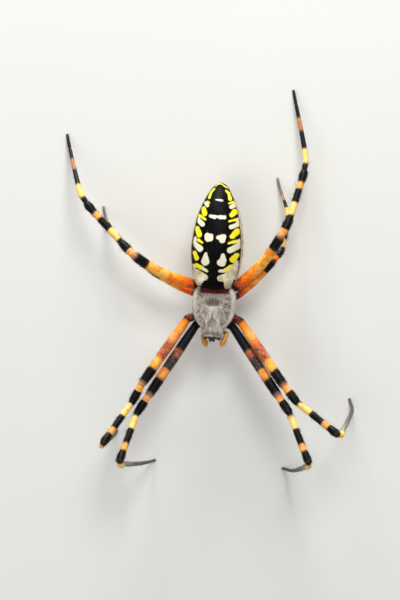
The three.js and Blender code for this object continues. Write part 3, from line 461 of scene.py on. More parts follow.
def tube(region, line, radii, upper, sides=20, along=(0.0, 1.0), shares=None, start=END_ROUNDNESS,
         end=END_ROUNDNESS):
    """A closed tube with rounded ends about a line. Its turn about the line is 0 on one side and 0.25
    on the upper side."""
    ways = unit(np.gradient(line, axis=0))
    shares = np.linspace(0, 1, len(line)) if shares is None else shares
    caps = np.radians((80.0, 60.0, 38.0, 16.0))
    before = line[0] - ways[0] * (radii[0] * start * np.sin(caps))[:, None]
    after = line[-1] + ways[-1] * (radii[-1] * end * np.sin(caps[::-1]))[:, None]
    centres = np.vstack([before, line, after])
    sizes = np.concatenate([radii[0] * np.cos(caps), radii, radii[-1] * np.cos(caps[::-1])])
    ways = np.vstack([np.repeat(ways[:1], 4, 0), ways, np.repeat(ways[-1:], 4, 0)])
    shares = np.concatenate([np.zeros(4), shares, np.ones(4)])
    turns = 2 * np.pi * np.arange(sides) / sides
    rings = []
    up = np.asarray(upper, float)
    for centre, way, size in zip(centres, ways, sizes):
        up = unit(up - way * np.dot(up, way))
        across = np.cross(up, way)
        rings.append(centre + size * (np.outer(np.cos(turns), across) + np.outer(np.sin(turns), up)))
    first = line[0] - unit(ways[0]) * radii[0] * start
    last = line[-1] + unit(ways[-1]) * radii[-1] * end
    counted = along[0] + (along[1] - along[0]) * shares
    return Shell(np.array(rings), first, last, region, counted[:, None], turns / (2 * np.pi),
                 ways[:, None, :])


def pinched(radii, shares, place, depth, width):
    """Radii with a groove at a place along them, as at a joint."""
    return radii * (1 - depth * np.exp(-((shares - place) / width) ** 2))


def egg(region, centre, half_sizes, rings=14, sides=22):
    """A closed ball stretched along each axis."""
    tilt = np.linspace(-90, 90, rings + 2)[1:-1]
    tilt, turn = np.meshgrid(np.radians(tilt), 2 * np.pi * np.arange(sides) / sides, indexing="ij")
    ball = np.stack([np.cos(tilt) * np.cos(turn), np.sin(tilt), np.cos(tilt) * np.sin(turn)], -1)
    centre, half_sizes = np.asarray(centre), np.asarray(half_sizes)
    pole = np.array([0, half_sizes[1], 0])
    return Shell(centre + ball * half_sizes, centre - pole, centre + pole, region,
                 tilt / np.pi + 0.5, turn / (2 * np.pi), np.array([0.0, -1.0, 0.0]))


def mirrored(point, sign):
    return np.array([point[0] * sign, point[1], point[2]], float)


def scene_place(point):
    """Where a point of the body, in millimetres, is in the scene."""
    return Vector(np.asarray(point) * MM + STANDS_AT)


# ---------- carapace, underside and mouth


def carapace_half_width(y):
    """Half width of the carapace at y: an oval thorax, and a narrower head with rounded corners."""
    c = CARAPACE
    backward = np.maximum(0, y - c["thorax"]) / c["rear_reach"]
    rear = c["thorax_half"] * np.sqrt(np.maximum(0, 1 - backward ** c["rear_power"]))
    thorax = c["thorax_half"] * np.sqrt(np.maximum(0, 1 - ((y - c["thorax"]) / c["front_reach"]) ** 2))
    forward = np.maximum(0, (c["thorax"] - y) / ((c["thorax"] - c["front"]) * c["head_margin"]))
    head = c["head_half"] * np.maximum(0, 1 - forward ** c["corner_power"]) ** c["corner_rounding"]
    both = (thorax ** c["neck_power"] + head ** c["neck_power"]) ** (1 / c["neck_power"])
    return np.where(y > c["thorax"], rear, both)


def carapace_crown(y):
    """Height of the carapace's middle line at y: low at the rear, level over the thorax, rounded head."""
    c = CARAPACE
    climb = np.sin(np.pi / 2 * np.minimum(1, (CARAPACE_REAR - y) / c["crown_run"])) ** c["crown_power"]
    fall = np.clip((-y + c["front"] + c["brow_run"]) / c["brow_run"], 0, 1)
    brow = c["brow_drop"] * (fall * fall * (3 - 2 * fall)) ** c["brow_power"]
    return c["rim"] + c["rear_lift"] + (c["crown"] - c["rim"]) * climb - brow


def carapace_hollow(x, y):
    """Depth of the fovea, of the two grooves that mark off the head and of those between the legs."""
    s = SPOKE_GROOVES
    fovea = FOVEA["depth"] * np.exp(-(x * x + (y - FOVEA["y"]) ** 2) / FOVEA["radius"] ** 2)
    along = np.clip((FOVEA["y"] - y) / (FOVEA["y"] - NECK_GROOVE["y"]), 0, 1)
    aside = np.abs(x) - NECK_GROOVE["x"] * along ** NECK_GROOVE["curve"]
    neck = NECK_GROOVE["depth"] * np.sin(np.pi * along) * np.exp(-(aside / NECK_GROOVE["width"]) ** 2)
    outward = np.hypot(x, y - FOVEA["y"])
    heading = np.degrees(np.arctan2(y - FOVEA["y"], np.abs(x)))
    fade = np.clip(outward - s["from"], 0, 1) * np.clip((s["to"] - outward) / s["fade"], 0, 1)
    spokes = sum(np.exp(-((heading - degrees) / s["width"]) ** 2) for degrees in s["degrees"])
    return fovea + neck + s["depth"] * spokes * fade


def carapace_shells():
    """The carapace with the mounds under its eyes and the collars round them."""
    c, grid = CARAPACE, CARAPACE_MESH
    spacing = 1 - np.cos(np.linspace(grid["first_angle"], np.pi - grid["first_angle"], grid["rings"]))
    spacing = (spacing - spacing[0]) / (spacing[-1] - spacing[0])
    y = CARAPACE_REAR - SKIN_DEPTH + (c["front"] - CARAPACE_REAR + 2 * SKIN_DEPTH) * spacing[:, None]
    turn = np.linspace(0, np.pi, grid["over"])[None]
    half = carapace_half_width(y) - SKIN_DEPTH
    crown = carapace_crown(y) - SKIN_DEPTH
    x = half * np.cos(turn)
    dome = (crown - c["rim"]) * np.sin(turn) ** c["dome_power"]
    z = c["rim"] + dome - carapace_hollow(x, y) * np.sin(turn)
    top = np.stack([x, np.broadcast_to(y, x.shape), z], -1)
    across, lift = np.array(CARAPACE_UNDER).T
    x = half * across
    under = np.stack([x, np.broadcast_to(y, x.shape), np.broadcast_to(c["under"] + lift, x.shape)], -1)
    rings = np.concatenate([top, under], 1)
    middle = np.stack([0 * y[:, 0], y[:, 0], (c["under"] + crown[:, 0]) / 2], -1)
    rear = [middle[0] + (rings[0] - middle[0]) * scale + [0, push, 0] for scale, push in CARAPACE_ENDS]
    front = [middle[-1] + (rings[-1] - middle[-1]) * scale - [0, push, 0] for scale, push in CARAPACE_ENDS]
    rings = np.concatenate([rear, rings, front[::-1]])
    along = (CARAPACE_REAR - rings[..., 1]) / (CARAPACE_REAR - c["front"])
    around = 0.5 - rings[..., 0] / (2.4 * c["thorax_half"])
    outward = unit(np.stack([rings[..., 0], rings[..., 1] - FOVEA["y"], 0 * rings[..., 2]], -1) + 1e-9)
    tip = np.array([0, CARAPACE_TIP, 0])
    shells = [Shell(rings, middle[0] + tip, middle[-1] - tip, "carapace", along, around, outward)]
    shells += [egg("carapace", centre, (radius - SKIN_DEPTH,) * 3, 18, 28) for *centre, radius in EYE_MOUNDS]
    shells += [eye_collar(*place) for place in eye_places().values()]
    return shells


def eye_places():
    """Middle, radius and outward way of each eye."""
    places = {}
    for name, (x, y, z, radius) in EYES.items():
        for side, sign in SIDES.items():
            centre = mirrored((x, y, z), sign)
            places[f"eye_{name}_{side}"] = (centre, radius, unit(centre - np.array(HEAD_MIDDLE)))
    return places


def eye_collar(centre, radius, outward, sides=26):
    """The low collar of skin round an eye."""
    side = unit(np.cross(outward, [0, 0, 1.0]))
    over = np.cross(side, outward)
    turns = 2 * np.pi * np.arange(sides) / sides
    rim = np.outer(np.cos(turns), side) + np.outer(np.sin(turns), over)
    rings = np.array([centre + outward * radius * lift + rim * radius * wide for lift, wide in EYE_COLLAR])
    return Shell(rings, centre - outward * radius, centre + outward * radius * 0.1, "carapace", 0.98, 0.5,
                 outward)


def sternum_shell():
    """Sternum and the soft core over it, with folds in its upper part."""
    s = STERNUM
    turn = 2 * np.pi * np.arange(s["sides"]) / s["sides"]
    outline = np.stack([s["half_width"] * (1 - s["narrowing"] * np.sin(turn)) * np.cos(turn),
                        s["half_length"] * np.sin(turn)], -1)
    lobes = 1 + s["lobes"] * np.cos(8 * turn + 0.4)
    heights = np.linspace(0, 1, s["rings"])
    level, scales = smooth_row(CORE_LEVELS, heights), smooth_row(CORE_SIZES, heights)
    creases = np.sin(16 * level[:, None] + 2 * np.cos(3 * turn))
    folds = 1 + s["folds"] * creases * (level[:, None] > s["folds_from"])
    rings = [np.column_stack([outline * (scale * lobes * fold)[:, None] + [0, s["y"]],
                              np.full(s["sides"], z + SKIN_DEPTH)])
             for z, scale, fold in zip(level, scales, folds)]
    return Shell(np.array(rings), np.array([0, s["y"], s["bottom"]]), np.array([0, s["y"], s["top"]]),
                 "underside", 0.5, turn / (2 * np.pi), np.array([0.0, 1.0, 0.0]))


def underside_shells():
    """Sternum with its core, labium, the stalk of the waist, and the epigyne with its hook."""
    stalk, stalk_shares, _ = even_line(STALK, 0.16)
    scape, scape_shares, _ = even_line(np.array(EPIGYNE) + SCAPE, 0.1)
    bumps = (egg("abdomen", EPIGYNE, EPIGYNE_SIZE),
             tube("abdomen", scape, smooth_row(SCAPE_RADII, scape_shares), (0, 0, -1), 14))
    for bump in bumps:
        bump.around[:], bump.along[:] = 0.75, 0.3
    return [sternum_shell(), egg("underside", *LABIUM),
            tube("underside", stalk, smooth_row(STALK_RADII, stalk_shares), (0, 0, 1)), *bumps]


def mouth_shells():
    """Chelicerae, palps and the endites between them, from the left side to the right."""
    shells = []
    for side, sign in SIDES.items():
        line, shares, _ = even_line([mirrored(p, sign) for p in CHELICERA], 0.1)
        radii = smooth_row(CHELICERA_RADII, shares) - SKIN_DEPTH
        shells.append(tube("chelicera", line, radii, (0, -1, 0), 26, shares=shares))
        line, shares, _ = even_line([mirrored(p, sign) for p in PALPS[side]], 0.08)
        radii = smooth_row(PALP_RADII, shares) - SKIN_DEPTH
        for joint in PALP_JOINTS:
            radii = pinched(radii, shares, joint, *PALP_GROOVE)
        shells.append(tube("palp", line, radii, (0, 0, 1), 18, shares=shares))
        centre, sizes = ENDITE
        shells.append(egg("chelicera", mirrored(centre, sign), sizes))
    return shells


# ---------- abdomen and spinnerets


def abdomen_surface(share, turn):
    """Points of the abdomen: share from waist to tail, turn from the left side over the top."""
    tops = smooth_line([(half, *top) for top, _, half, _ in ABDOMEN], share)
    bottoms = smooth_line([(widest, *bottom) for _, bottom, _, widest in ABDOMEN], share)
    half, widest = tops[..., :1] - SKIN_DEPTH, bottoms[..., :1]
    middle = tops[..., 1:] + (bottoms[..., 1:] - tops[..., 1:]) * widest
    up, out = np.sin(turn)[..., None], np.cos(turn)[..., None]
    reach = np.where(up > 0, tops[..., 1:], bottoms[..., 1:]) - middle
    reach = reach - unit(reach) * SKIN_DEPTH
    side = middle + reach * np.abs(up)
    x = half * np.sign(out) * np.abs(out) ** FULLNESS
    s = SHOULDER
    far = ((np.abs(x) - s["x"]) / s["radius"]) ** 2 + ((side[..., :1] - s["y"]) / s["radius"]) ** 2
    hump = np.where(up > 0, s["height"] * up * np.exp(-far), 0)
    return np.concatenate([x, side[..., :1] - s["forward"] * hump, side[..., 1:] + hump], -1)


def abdomen_shell():
    shares = np.linspace(0, 1, ABDOMEN_RINGS)[:, None]
    turns = (2 * np.pi * np.arange(ABDOMEN_SIDES) / ABDOMEN_SIDES)[None]
    grid = abdomen_surface(shares * np.ones_like(turns), turns * np.ones_like(shares))
    backward = unit(np.gradient(grid, axis=0))
    return Shell(grid, np.array(WAIST), np.array(TAIL) - [0, SKIN_DEPTH, 0], "abdomen", shares,
                 turns / (2 * np.pi), backward)


def spinneret_shells():
    """Three pairs of spinnerets on their common base."""
    s = SPINNERETS
    place, ahead = abdomen_surface(np.array([s["section"], s["section"] + 0.01]), np.radians([-90.0, -90.0]))
    backward = unit(ahead - place)
    outward = -np.cross([1.0, 0, 0], backward)
    root = place + outward * s["gap"]
    base, shares, _ = even_line((root - outward * s["sunk"], root, root + outward * s["rise"]), 0.1)
    shells = [tube("spinneret", base, smooth_row(SPINNERET_BASE, shares) * s["base"], backward, 30)]
    for x, along, radius, length, splay in SPINNERET_PAIRS:
        for sign in SIDES.values():
            start = mirrored(root + outward * s["start"] + backward * along, sign)
            start[0] = sign * x
            way = outward + backward * s["lean"]
            way[0] = sign * math.sin(math.radians(splay))
            way = unit(way)
            line, shares, _ = even_line((start, start + way * length / 2, start + way * length), 0.07)
            radii = pinched(smooth_row(SPINNERET_TAPER, shares) * radius, shares, 0.72, 0.14, 0.03)
            shells.append(tube("spinneret", line, radii, backward, 18, shares=shares))
    for shell in shells:
        shell.around[:] = 0.75
    return shells


# ---------- legs


def leg_joints(pair, side):
    """Hip, knee, shin (start of the tibia), heel (end of it), wrist (start of the tarsus) and tip."""
    headings, heights = STANCE[pair, side]
    sign = SIDES[side]
    joints = [mirrored(COXAE[pair][1], sign)]
    for length, heading, height in zip(LEG_LENGTHS[pair], np.radians(headings), (*heights, 0.0)):
        rise = height - joints[-1][2]
        across = math.sqrt(length ** 2 - rise ** 2)
        joints.append(joints[-1] + [sign * across * math.cos(heading), across * math.sin(heading), rise])
    low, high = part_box(f"leg_{pair}_{side}_tibia")
    if not all(a - MM < c < b + MM for a, c, b in zip(low, scene_place(joints[3]), high)):
        raise RuntimeError(f"leg {pair} {side} doesn't stand where the packed one does")
    return joints


def foot_points(heel, wrist, tip, tibia_way):
    """The points that the bowed line of metatarsus and tarsus runs through."""
    meta_way = unit(wrist - heel)
    outer = unit(tibia_way - meta_way * np.dot(tibia_way, meta_way))
    length = np.linalg.norm(wrist - heel)
    landing = unit((tip - wrist) * [1, 1, 0])
    f = FOOT_LINE
    return [
        heel, heel + unit(tibia_way + meta_way) * HEEL_REACH,
        heel + meta_way * length * f["rise"] + outer * length * f["bow"],
        heel + meta_way * length * f["top"] + outer * length * f["top_bow"], wrist,
        tip * [1, 1, 0] - landing * f["before_tip"] + [0, 0, f["before_tip_z"]],
        tip * [1, 1, 0] + [0, 0, TIP_HEIGHT],
    ], outer


def leg_part(pair, part, number, near, far, step):
    """Line, radii, upper side and places along the leg of a part that runs from joint to joint."""
    ball = JOINT_BALLS[part] * STOUT[pair]
    reach = np.linalg.norm(far - near)
    run = np.linspace(0, reach, max(8, int(reach / step)))
    swelling = ball * JOINT_REACH
    radii = smooth_row(LEG_RADII[part], np.clip(run / (reach - swelling), 0, 1)) * STOUT[pair]
    blend = np.clip((run - (reach - swelling)) / swelling, 0, 1)
    radii = radii * (1 - blend) + ball * blend - SKIN_DEPTH * LEG_SKIN
    line = near + np.outer(run / reach, far - near)
    if part == "femur":
        thicker = np.interp(run / reach, (0, 0.6), (FEMUR_SWELL[pair], 1))
        radii = radii * np.where(run < reach - ball, thicker, 1)
        across = unit(np.cross([0, 0, 1.0], far - near))
        forwards = -np.sign(across[1]) * across * FEMUR_BOW[pair] * reach
        line = line + np.outer(np.sin(np.pi * run / reach), forwards)
    return line, radii, np.array([0.0, 0, 1]), number + run / reach


def leg_lines(pair, side):
    """For each part of a leg: its line, radii, upper side and where its points are along the leg."""
    step = bpy.context.scene.spider_skin.ring_step / MM
    joints = leg_joints(pair, side)
    ends = [mirrored(COXAE[pair][0], SIDES[side]), *joints[:4]]
    lines = {}
    for number, part in enumerate(LEG_PARTS[:-1]):
        lines[part] = leg_part(pair, part, number, ends[number], ends[number + 1], step)
    _, _, shin, heel, wrist, tip = joints
    points, outer = foot_points(heel, wrist, tip, unit(heel - shin))
    line, shares, places = even_line(points, step)
    wrist_share = np.interp(4 / 6, places, shares)
    radii = pinched(smooth_row(LEG_RADII["foot"], shares) * STOUT[pair], shares, wrist_share, *WRIST_GROOVE)
    counted = np.interp(shares, (0, wrist_share, 1), (4, 5, 6))
    lines["foot"] = (line, np.maximum(radii, THINNEST), outer, counted)
    return lines


def leg_shells():
    sides = bpy.context.scene.spider_skin.leg_sides
    shells = []
    for pair, side in STANCE:
        for part, (line, radii, upper, counted) in leg_lines(pair, side).items():
            share = (counted - counted[0]) / (counted[-1] - counted[0])
            end = LEG_CAPS["narrow_end" if part in ("foot", "tibia") else "end"]
            shells.append(tube(f"leg_{pair}", line, radii, upper, sides, (counted[0], counted[-1]), share,
                               LEG_CAPS["start"], end))
    return shells


# ---------- joining shells, keeping values


def stroke_distance(x, y, strokes):
    """Distance in mm to the nearest of some tapering strokes, negative inside it."""
    nearest = np.full(x.shape, 9.0)
    for x0, y0, r0, x1, y1, r1 in strokes:
        dx, dy = x1 - x0, y1 - y0
        share = np.clip(((x - x0) * dx + (y - y0) * dy) / (dx * dx + dy * dy), 0, 1)
        away = np.hypot(x - x0 - share * dx, y - y0 - share * dy) - (r0 + (r1 - r0) * share)
        nearest = np.minimum(nearest, away)
    return nearest


def abdomen_marks(points, around):
    """For points of the abdomen: distance to the pale marks, how yellow and how creamy they are, and
    where the flank's dark net lies."""
    f, per = FLANK, FLANK["mm_per_degree"]
    x, y = points[:, 0], points[:, 1]
    height = np.degrees(np.arcsin(np.clip(np.sin(2 * np.pi * around), -1, 1)))
    line = f["line"] + f["climb"] * np.maximum(0, y - f["climbs_from"])
    over = (line + f["line_half"] - height) * per
    over = over - 3.0 * np.clip((y - f["ends_at"]) / 0.3, 0, 1) * (height > -20)
    white, cream, yellow = (np.maximum(stroke_distance(x, y, strokes), over)
                            for strokes in (WHITE_STROKES, CREAM_STROKES, YELLOW_STROKES))
    bottom = f["bottom"] + f["wave"] * np.sin(2 * np.pi * y * f["waves"] / MARK_PACE)
    bottom = bottom + f["front_rise"] * np.maximum(0, f["front"] - y)
    flank = np.maximum(height - line + f["line_half"], bottom - height) * per
    stripe = np.maximum(stroke_distance(np.abs(x), y, BELLY_STROKES), (height - BELLY_BELOW) * per)
    upper = np.minimum.reduce([white, cream, yellow])
    light = np.minimum.reduce([upper, flank, stripe])
    is_flank = flank <= upper + 0.01
    on_back = np.clip(0.5 + (np.minimum(white, cream) - yellow) / MARK_BLUR, 0, 1)
    on_flank = np.clip(0.5 + 0.5 * np.sin(2 * np.pi * y / MARK_PACE + 1.0), 0, 1) * 0.7
    on_flank = on_flank * np.clip((4 - height) / 12, 0, 1)
    yellowness = np.where(is_flank, on_flank, on_back)
    yellowness = np.where(stripe <= light + 1e-6, 0.9, yellowness)
    creamy = np.where(is_flank, 1.0, np.clip(0.5 + (white - cream) / MARK_BLUR, 0, 1))
    net = np.clip((14 - height) / 10, 0, 1) * np.clip((height + 60) / 20, 0, 1)
    return light, yellowness, creamy, net


def carapace_marks(points):
    """For points of the carapace: distances to its rim, its pale down and its hollows' painted shade."""
    x, y = points[:, 0], points[:, 1]
    rim = carapace_half_width(y) - np.abs(x)
    return rim, stroke_distance(x, y, DOWN_STROKES), stroke_distance(x, y, SHADE_STROKES)


VALUES = ("along", "around", "light", "yellow", "creamy", "net", "rim", "down", "shade")


def deselect_all():
    if bpy.context.object and bpy.context.object.mode != "OBJECT":
        bpy.ops.object.mode_set(mode="OBJECT")
    bpy.ops.object.select_all(action="DESELECT")


def choose(piece):
    deselect_all()
    piece.select_set(True)
    bpy.context.view_layer.objects.active = piece


def new_piece(name, points, faces):
    """A mesh object from points in millimetres of the body."""
    mesh = bpy.data.meshes.new(name)
    mesh.from_pydata((np.asarray(points) * MM + STANDS_AT).tolist(), [], faces)
    mesh.update()
    piece = bpy.data.objects.new(name, mesh)
    bpy.context.scene.collection.objects.link(piece)
    return piece


def fuse(name, shells):
    """One closed skin from shells that overlap, which keeps the values of their points."""
    pieces = [new_piece(f"{name}_{k}", shell.points, shell.faces) for k, shell in enumerate(shells)]
    others = bpy.data.collections.new("to_fuse")
    bpy.context.scene.collection.children.link(others)
    for piece in pieces[1:]:
        bpy.context.scene.collection.objects.unlink(piece)
        others.objects.link(piece)
    skin = pieces[0]
    skin.name = name
    choose(skin)
    union = skin.modifiers.new("Fuse", "BOOLEAN")
    union.operation = "UNION"
    union.operand_type = "COLLECTION"
    union.collection = others
    union.solver = "MANIFOLD"
    bpy.ops.object.modifier_apply(modifier=union.name)
    for piece in list(others.objects):
        bpy.data.objects.remove(piece)
    bpy.data.collections.remove(others)
    return skin


def read_array(items, prop, kind=float, width=1):
    """One property of all items of a mesh, in rows where it has several numbers."""
    values = np.empty(len(items) * width, kind)
    items.foreach_get(prop, values)
    return values.reshape(-1, width) if width > 1 else values


def body_places(items, prop):
    """Places of a mesh's items, in millimetres of the body."""
    return (read_array(items, prop, width=3) - STANDS_AT) / MM


def store(mesh, name, values, kind="FLOAT"):
    layer = mesh.attributes.new(name, kind, "POINT")
    prop = "vector" if kind == "FLOAT_VECTOR" else "value"
    layer.data.foreach_set(prop, np.ravel(values).astype(np.float32))


def keep_values(skin, shells):
    """Gives each point of the fused skin the values of the nearest point of the shells."""
    sources = np.vstack([shell.points for shell in shells])
    tree = KDTree(len(sources))
    for k, point in enumerate(sources):
        tree.insert(point, k)
    tree.balance()
    along, around, way, region = (np.concatenate([getattr(shell, key) for shell in shells])
                                  for key in ("along", "around", "way", "region"))
    mesh = skin.data
    points = body_places(mesh.vertices, "co")
    nearest = [tree.find(point)[1] for point in points]
    marks = (*abdomen_marks(points, around[nearest]), *carapace_marks(points))
    for name, stored in zip(VALUES, (along[nearest], around[nearest], *marks)):
        store(mesh, name, stored)
    store(mesh, "way", way[nearest], "FLOAT_VECTOR")
    nearest = [tree.find(middle)[1] for middle in body_places(mesh.polygons, "center")]
    mesh.polygons.foreach_set("material_index", region[nearest].astype(np.int32))


# ---------- shader nodes


def add_node(kind, inputs, tree=None, **settings):
    """Adds a node with its settings to a tree, or else to the tree of the outputs that it is linked
    to. An input is a value, or such an output."""
    links = {key: value for key, value in inputs.items() if isinstance(value, bpy.types.NodeSocket)}
    tree = tree or list(links.values())[0].id_data
    node = tree.nodes.new(f"ShaderNode{kind}")
    for key, value in settings.items():
        setattr(node, key, value)
    for key, value in inputs.items():
        if key in links:
            tree.links.new(value, node.inputs[key])
        else:
            node.inputs[key].default_value = value
    return node


def value_of(tree, name):
    return add_node("Attribute", {}, tree, attribute_name=name).outputs["Fac"]


def maths(operation, first, second=0.0):
    return add_node("Math", {0: first, 1: second}, operation=operation).outputs[0]


def plus(first, second):
    return maths("ADD", first, second)


def times(product, *others):
    for other in others:
        product = maths("MULTIPLY", product, other)
    return product


def rest_of(share):
    return maths("SUBTRACT", 1.0, share)


def vectors(operation, first, second=None, result="Vector"):
    """Arithmetic on a place, with a second place or, to scale it, a number."""
    inputs = {0: first}
    if second is not None:
        inputs["Scale" if operation == "SCALE" else 1] = second
    return add_node("VectorMath", inputs, operation=operation).outputs[result]


def step(value, low, high, to_low=0.0, to_high=1.0):
    """A smooth step from one value to another as the input goes from low to high."""
    inputs = {"Value": value, "From Min": low, "From Max": high, "To Min": to_low, "To Max": to_high}
    return add_node("MapRange", inputs, interpolation_type="SMOOTHSTEP").outputs["Result"]


def between(value, start, end, rise, fall):
    """1 between two values and 0 beyond them, with smooth edges inside."""
    return times(step(value, start, start + rise), step(value, end, end - fall))


def mix(share, first, second, blend="MIX"):
    inputs = {0: share, 6: first, 7: second}
    return add_node("Mix", inputs, data_type="RGBA", blend_type=blend).outputs[2]


def painted(colour, *coats):
    """A colour with others laid over it in turn, each given with how much of it there is."""
    for share, over in coats:
        colour = mix(share, colour, over)
    return colour


def darkened(colour, by):
    return mix(1.0, colour, by, "MULTIPLY")


def object_place(tree):
    """Place on the body, in millimetres."""
    place = add_node("TexCoord", {}, tree).outputs["Object"]
    inputs = {"Vector": place, "Scale": (1 / MM,) * 3, "Location": tuple(-STANDS_AT / MM)}
    return add_node("Mapping", inputs).outputs["Vector"]


def axes_of(place):
    return tuple(add_node("SeparateXYZ", {0: place}).outputs)


def noise(place, scale, detail=2.0, roughness=0.5):
    inputs = {"Vector": place, "Scale": scale, "Detail": detail, "Roughness": roughness}
    return add_node("TexNoise", inputs).outputs["Fac"]


def ripple(place, size, scale, detail=2.0, roughness=0.5):
    """Noise that goes above and below nothing, over a range of size."""
    return times(maths("SUBTRACT", noise(place, scale, detail, roughness), 0.5), size)


def clouds(place, low, high, scale, detail=2.0, roughness=0.5, most=1.0):
    """Soft clouds, 0 where the noise is low and most where it is high."""
    return step(noise(place, scale, detail, roughness), low, high, 0.0, most)


def cells(place, scale, feature="F1"):
    node = add_node("TexVoronoi", {"Vector": place, "Scale": scale}, feature=feature)
    return node.outputs["Distance"]


def group_once(build):
    """Makes a shader node group of a pattern on first use, and gives the same one afterwards. The
    pattern's function fills the group and gives its outputs by name: Colour, or masks and heights."""
    def get(*arguments):
        name = "_".join([build.__name__, *map(str, arguments)])
        tree = bpy.data.node_groups.get(name)
        if tree is None:
            tree = bpy.data.node_groups.new(name, "ShaderNodeTree")
            results = build(tree, *arguments)
            for label in results:
                kind = "NodeSocketColor" if label == "Colour" else "NodeSocketFloat"
                tree.interface.new_socket(label, in_out="OUTPUT", socket_type=kind)
            out = tree.nodes.new("NodeGroupOutput")
            for label, result in results.items():
                tree.links.new(result, out.inputs[label])
        return tree
    return get


@group_once
def cuticle_grain(tree):
    """Fine grain of bare cuticle, with the small pits that hairs stand in."""
    place = object_place(tree)
    grain = noise(place, 9.0, 4.0, 0.6)
    pits = step(cells(place, 7.0), 0.0, 0.22)
    return {"Height": plus(times(grain, 0.6), times(pits, 0.4)),
            "Mask": noise(place, 2.2, 3.0)}


def flank_veins(place):
    """0 on the dark threads of the net on the flanks, and 1 in its meshes."""
    inputs = {"Vector": place, "Scale": (1.0, 0.9, 0.62), "Rotation": (0.5, 0.0, 0.0)}
    stretched = add_node("Mapping", inputs).outputs["Vector"]
    warped = vectors("ADD", stretched, times(noise(place, 1.3, 2.0), 0.5))
    return step(cells(warped, 1.05, "DISTANCE_TO_EDGE"), 0.03, 0.085)


@group_once
def abdomen_pattern(tree):
    """White, cream and yellow marks on black, and the dark net of the flanks."""
    look = bpy.context.scene.spider_skin
    place = object_place(tree)
    wobble = ripple(place, 0.17, 2.1, 3.0, 0.6)
    edge = plus(value_of(tree, "light"), wobble)
    marked = step(plus(edge, ripple(place, 0.05, 14.0)), 0.055, -0.01)
    netted = times(value_of(tree, "net"), rest_of(flank_veins(place)))
    pale = times(marked, rest_of(netted))
    grains = step(cells(place, 10.0), 0.1, 0.75)
    cloud = noise(place, 1.1, 3.0)
    # Cream marks: dull cream clouded with cream, and with clouds of painted shade in a darker cream.
    cream = painted(ink("dull cream"), (step(cloud, 0.35, 0.65), ink("cream")),
                    (clouds(place, 0.52, 0.68, 3.4, most=0.35), ink("cream shade")))
    white = mix(value_of(tree, "creamy"), tuple(look.white), cream)
    gold = mix(step(cloud, 0.4, 0.62), tuple(look.yellow), ink("lemon"))
    light = mix(value_of(tree, "yellow"), white, gold)
    light = painted(light, (times(grains, 0.22), darkened(light, ink("grain"))),
                    (times(step(edge, -0.08, 0.03), 0.16), ink("olive")))
    # The black ground, with clouds of painted sheen in a slightly paler black.
    dark = mix(clouds(place, 0.45, 0.75, 1.8, 4.0, 0.6), tuple(look.black), ink("black sheen"))
    brown = mix(grains, ink("deep brown"), ink("soft brown"))
    spinners = abdomen_surface(np.array([SPINNERETS["section"]]), np.radians([-90.0]))[0]
    for middle, reach in ((EPIGYNE, 0.85), (spinners, 1.15)):
        away = plus(vectors("DISTANCE", place, tuple(middle), "Value"), wobble)
        dark = mix(step(away, reach, reach * 0.75), dark, brown)
    dark = mix(times(step(edge, 0.17, 0.05), 0.4), dark, ink("umber"))
    return {"Colour": mix(pale, dark, light), "Pale": pale}


def spoke_place(place):
    """A place that changes round the carapace's middle and only slowly away from it, so that what
    is drawn on it runs in spokes."""
    from_middle = vectors("SUBTRACT", place, (0.0, FOVEA["y"] * 0.5, 8.0))
    flat = vectors("MULTIPLY", from_middle, (1.0, 1.0, 0.0))
    turned = vectors("SCALE", vectors("NORMALIZE", flat), 5.5)
    return vectors("ADD", turned, times(vectors("LENGTH", flat, result="Value"), 0.5))


@group_once
def silver_down(tree):
    """Silvery down of the carapace, in spokes round its middle, with a cream rim brightened by painted
    rim light, a bare maroon rear and a dark front about the eyes that is partly painted shade."""
    look = bpy.context.scene.spider_skin
    place = object_place(tree)
    x, y, z = axes_of(place)
    radial = spoke_place(place)
    spokes = noise(radial, 1.5, 3.0, 0.6)
    strands = noise(radial, 7.5, 2.0, 0.6)
    patches = noise(place, 2.4, 3.0, 0.6)
    blur = ripple(place, 0.42, 4.0, 3.0, 0.6)
    shaded = plus(value_of(tree, "shade"), blur)
    drawn = plus(value_of(tree, "down"), blur)
    # The cream rim of the carapace, brightened with painted rim light: a quarter weaker on the animal's
    # right (-X) than on its left, and faint towards the front of the head.
    rim = step(plus(value_of(tree, "rim"), times(patches, 0.5)), 0.95, 0.6)
    rim = times(rim, step(x, -1.0, 1.0, 0.75, 1.0), step(y, -3.2, -2.2, 0.25, 1.0))
    rear = step(plus(y, times(spokes, 0.5)), 2.16, 2.36)
    bare = times(rear, step(maths("ABSOLUTE", x), 2.3, 1.9))
    # The front about the eyes is darkened: the dark eyes and face, with painted shade over the clypeus. The
    # carapace below about 7.1 mm is darkened as well.
    front = step(plus(y, times(patches, 0.3)), -3.82, -3.98)
    front = times(front, step(value_of(tree, "down"), -0.02, 0.06))
    dark = maths("MAXIMUM", front, step(z, 7.2, 7.05))
    colour = painted(
        ink("gap"),
        (step(spokes, 0.36, 0.6), tuple(look.silver)),
        (step(patches, 0.48, 0.66, 0.0, 0.65), ink("tuft")),
        (clouds(place, 0.52, 0.66, 0.9, most=0.4), ink("mauve")),
        (clouds(place, 0.48, 0.66, 5.0, 4.0, 0.65, most=0.6), ink("worn")),
        (step(strands, 0.5, 0.7, 0.0, 0.6), ink("lit strand")),
        (step(strands, 0.48, 0.32, 0.0, 0.55), ink("dark strand")),
        # painted shade along the shade strokes
        (step(shaded, 0.3, -0.25, 0.0, 0.8), ink("hollow shade")),
        (step(drawn, 0.2, -0.14, 0.0, 0.85), ink("star")),
        (rim, ink("rim")),
        (bare, mix(step(patches, 0.4, 0.6), ink("red cuticle"), ink("maroon cuticle"))),
        (dark, ink("face")),
    )
    return {"Colour": colour, "Bare": maths("MAXIMUM", bare, dark), "Fur": strands}


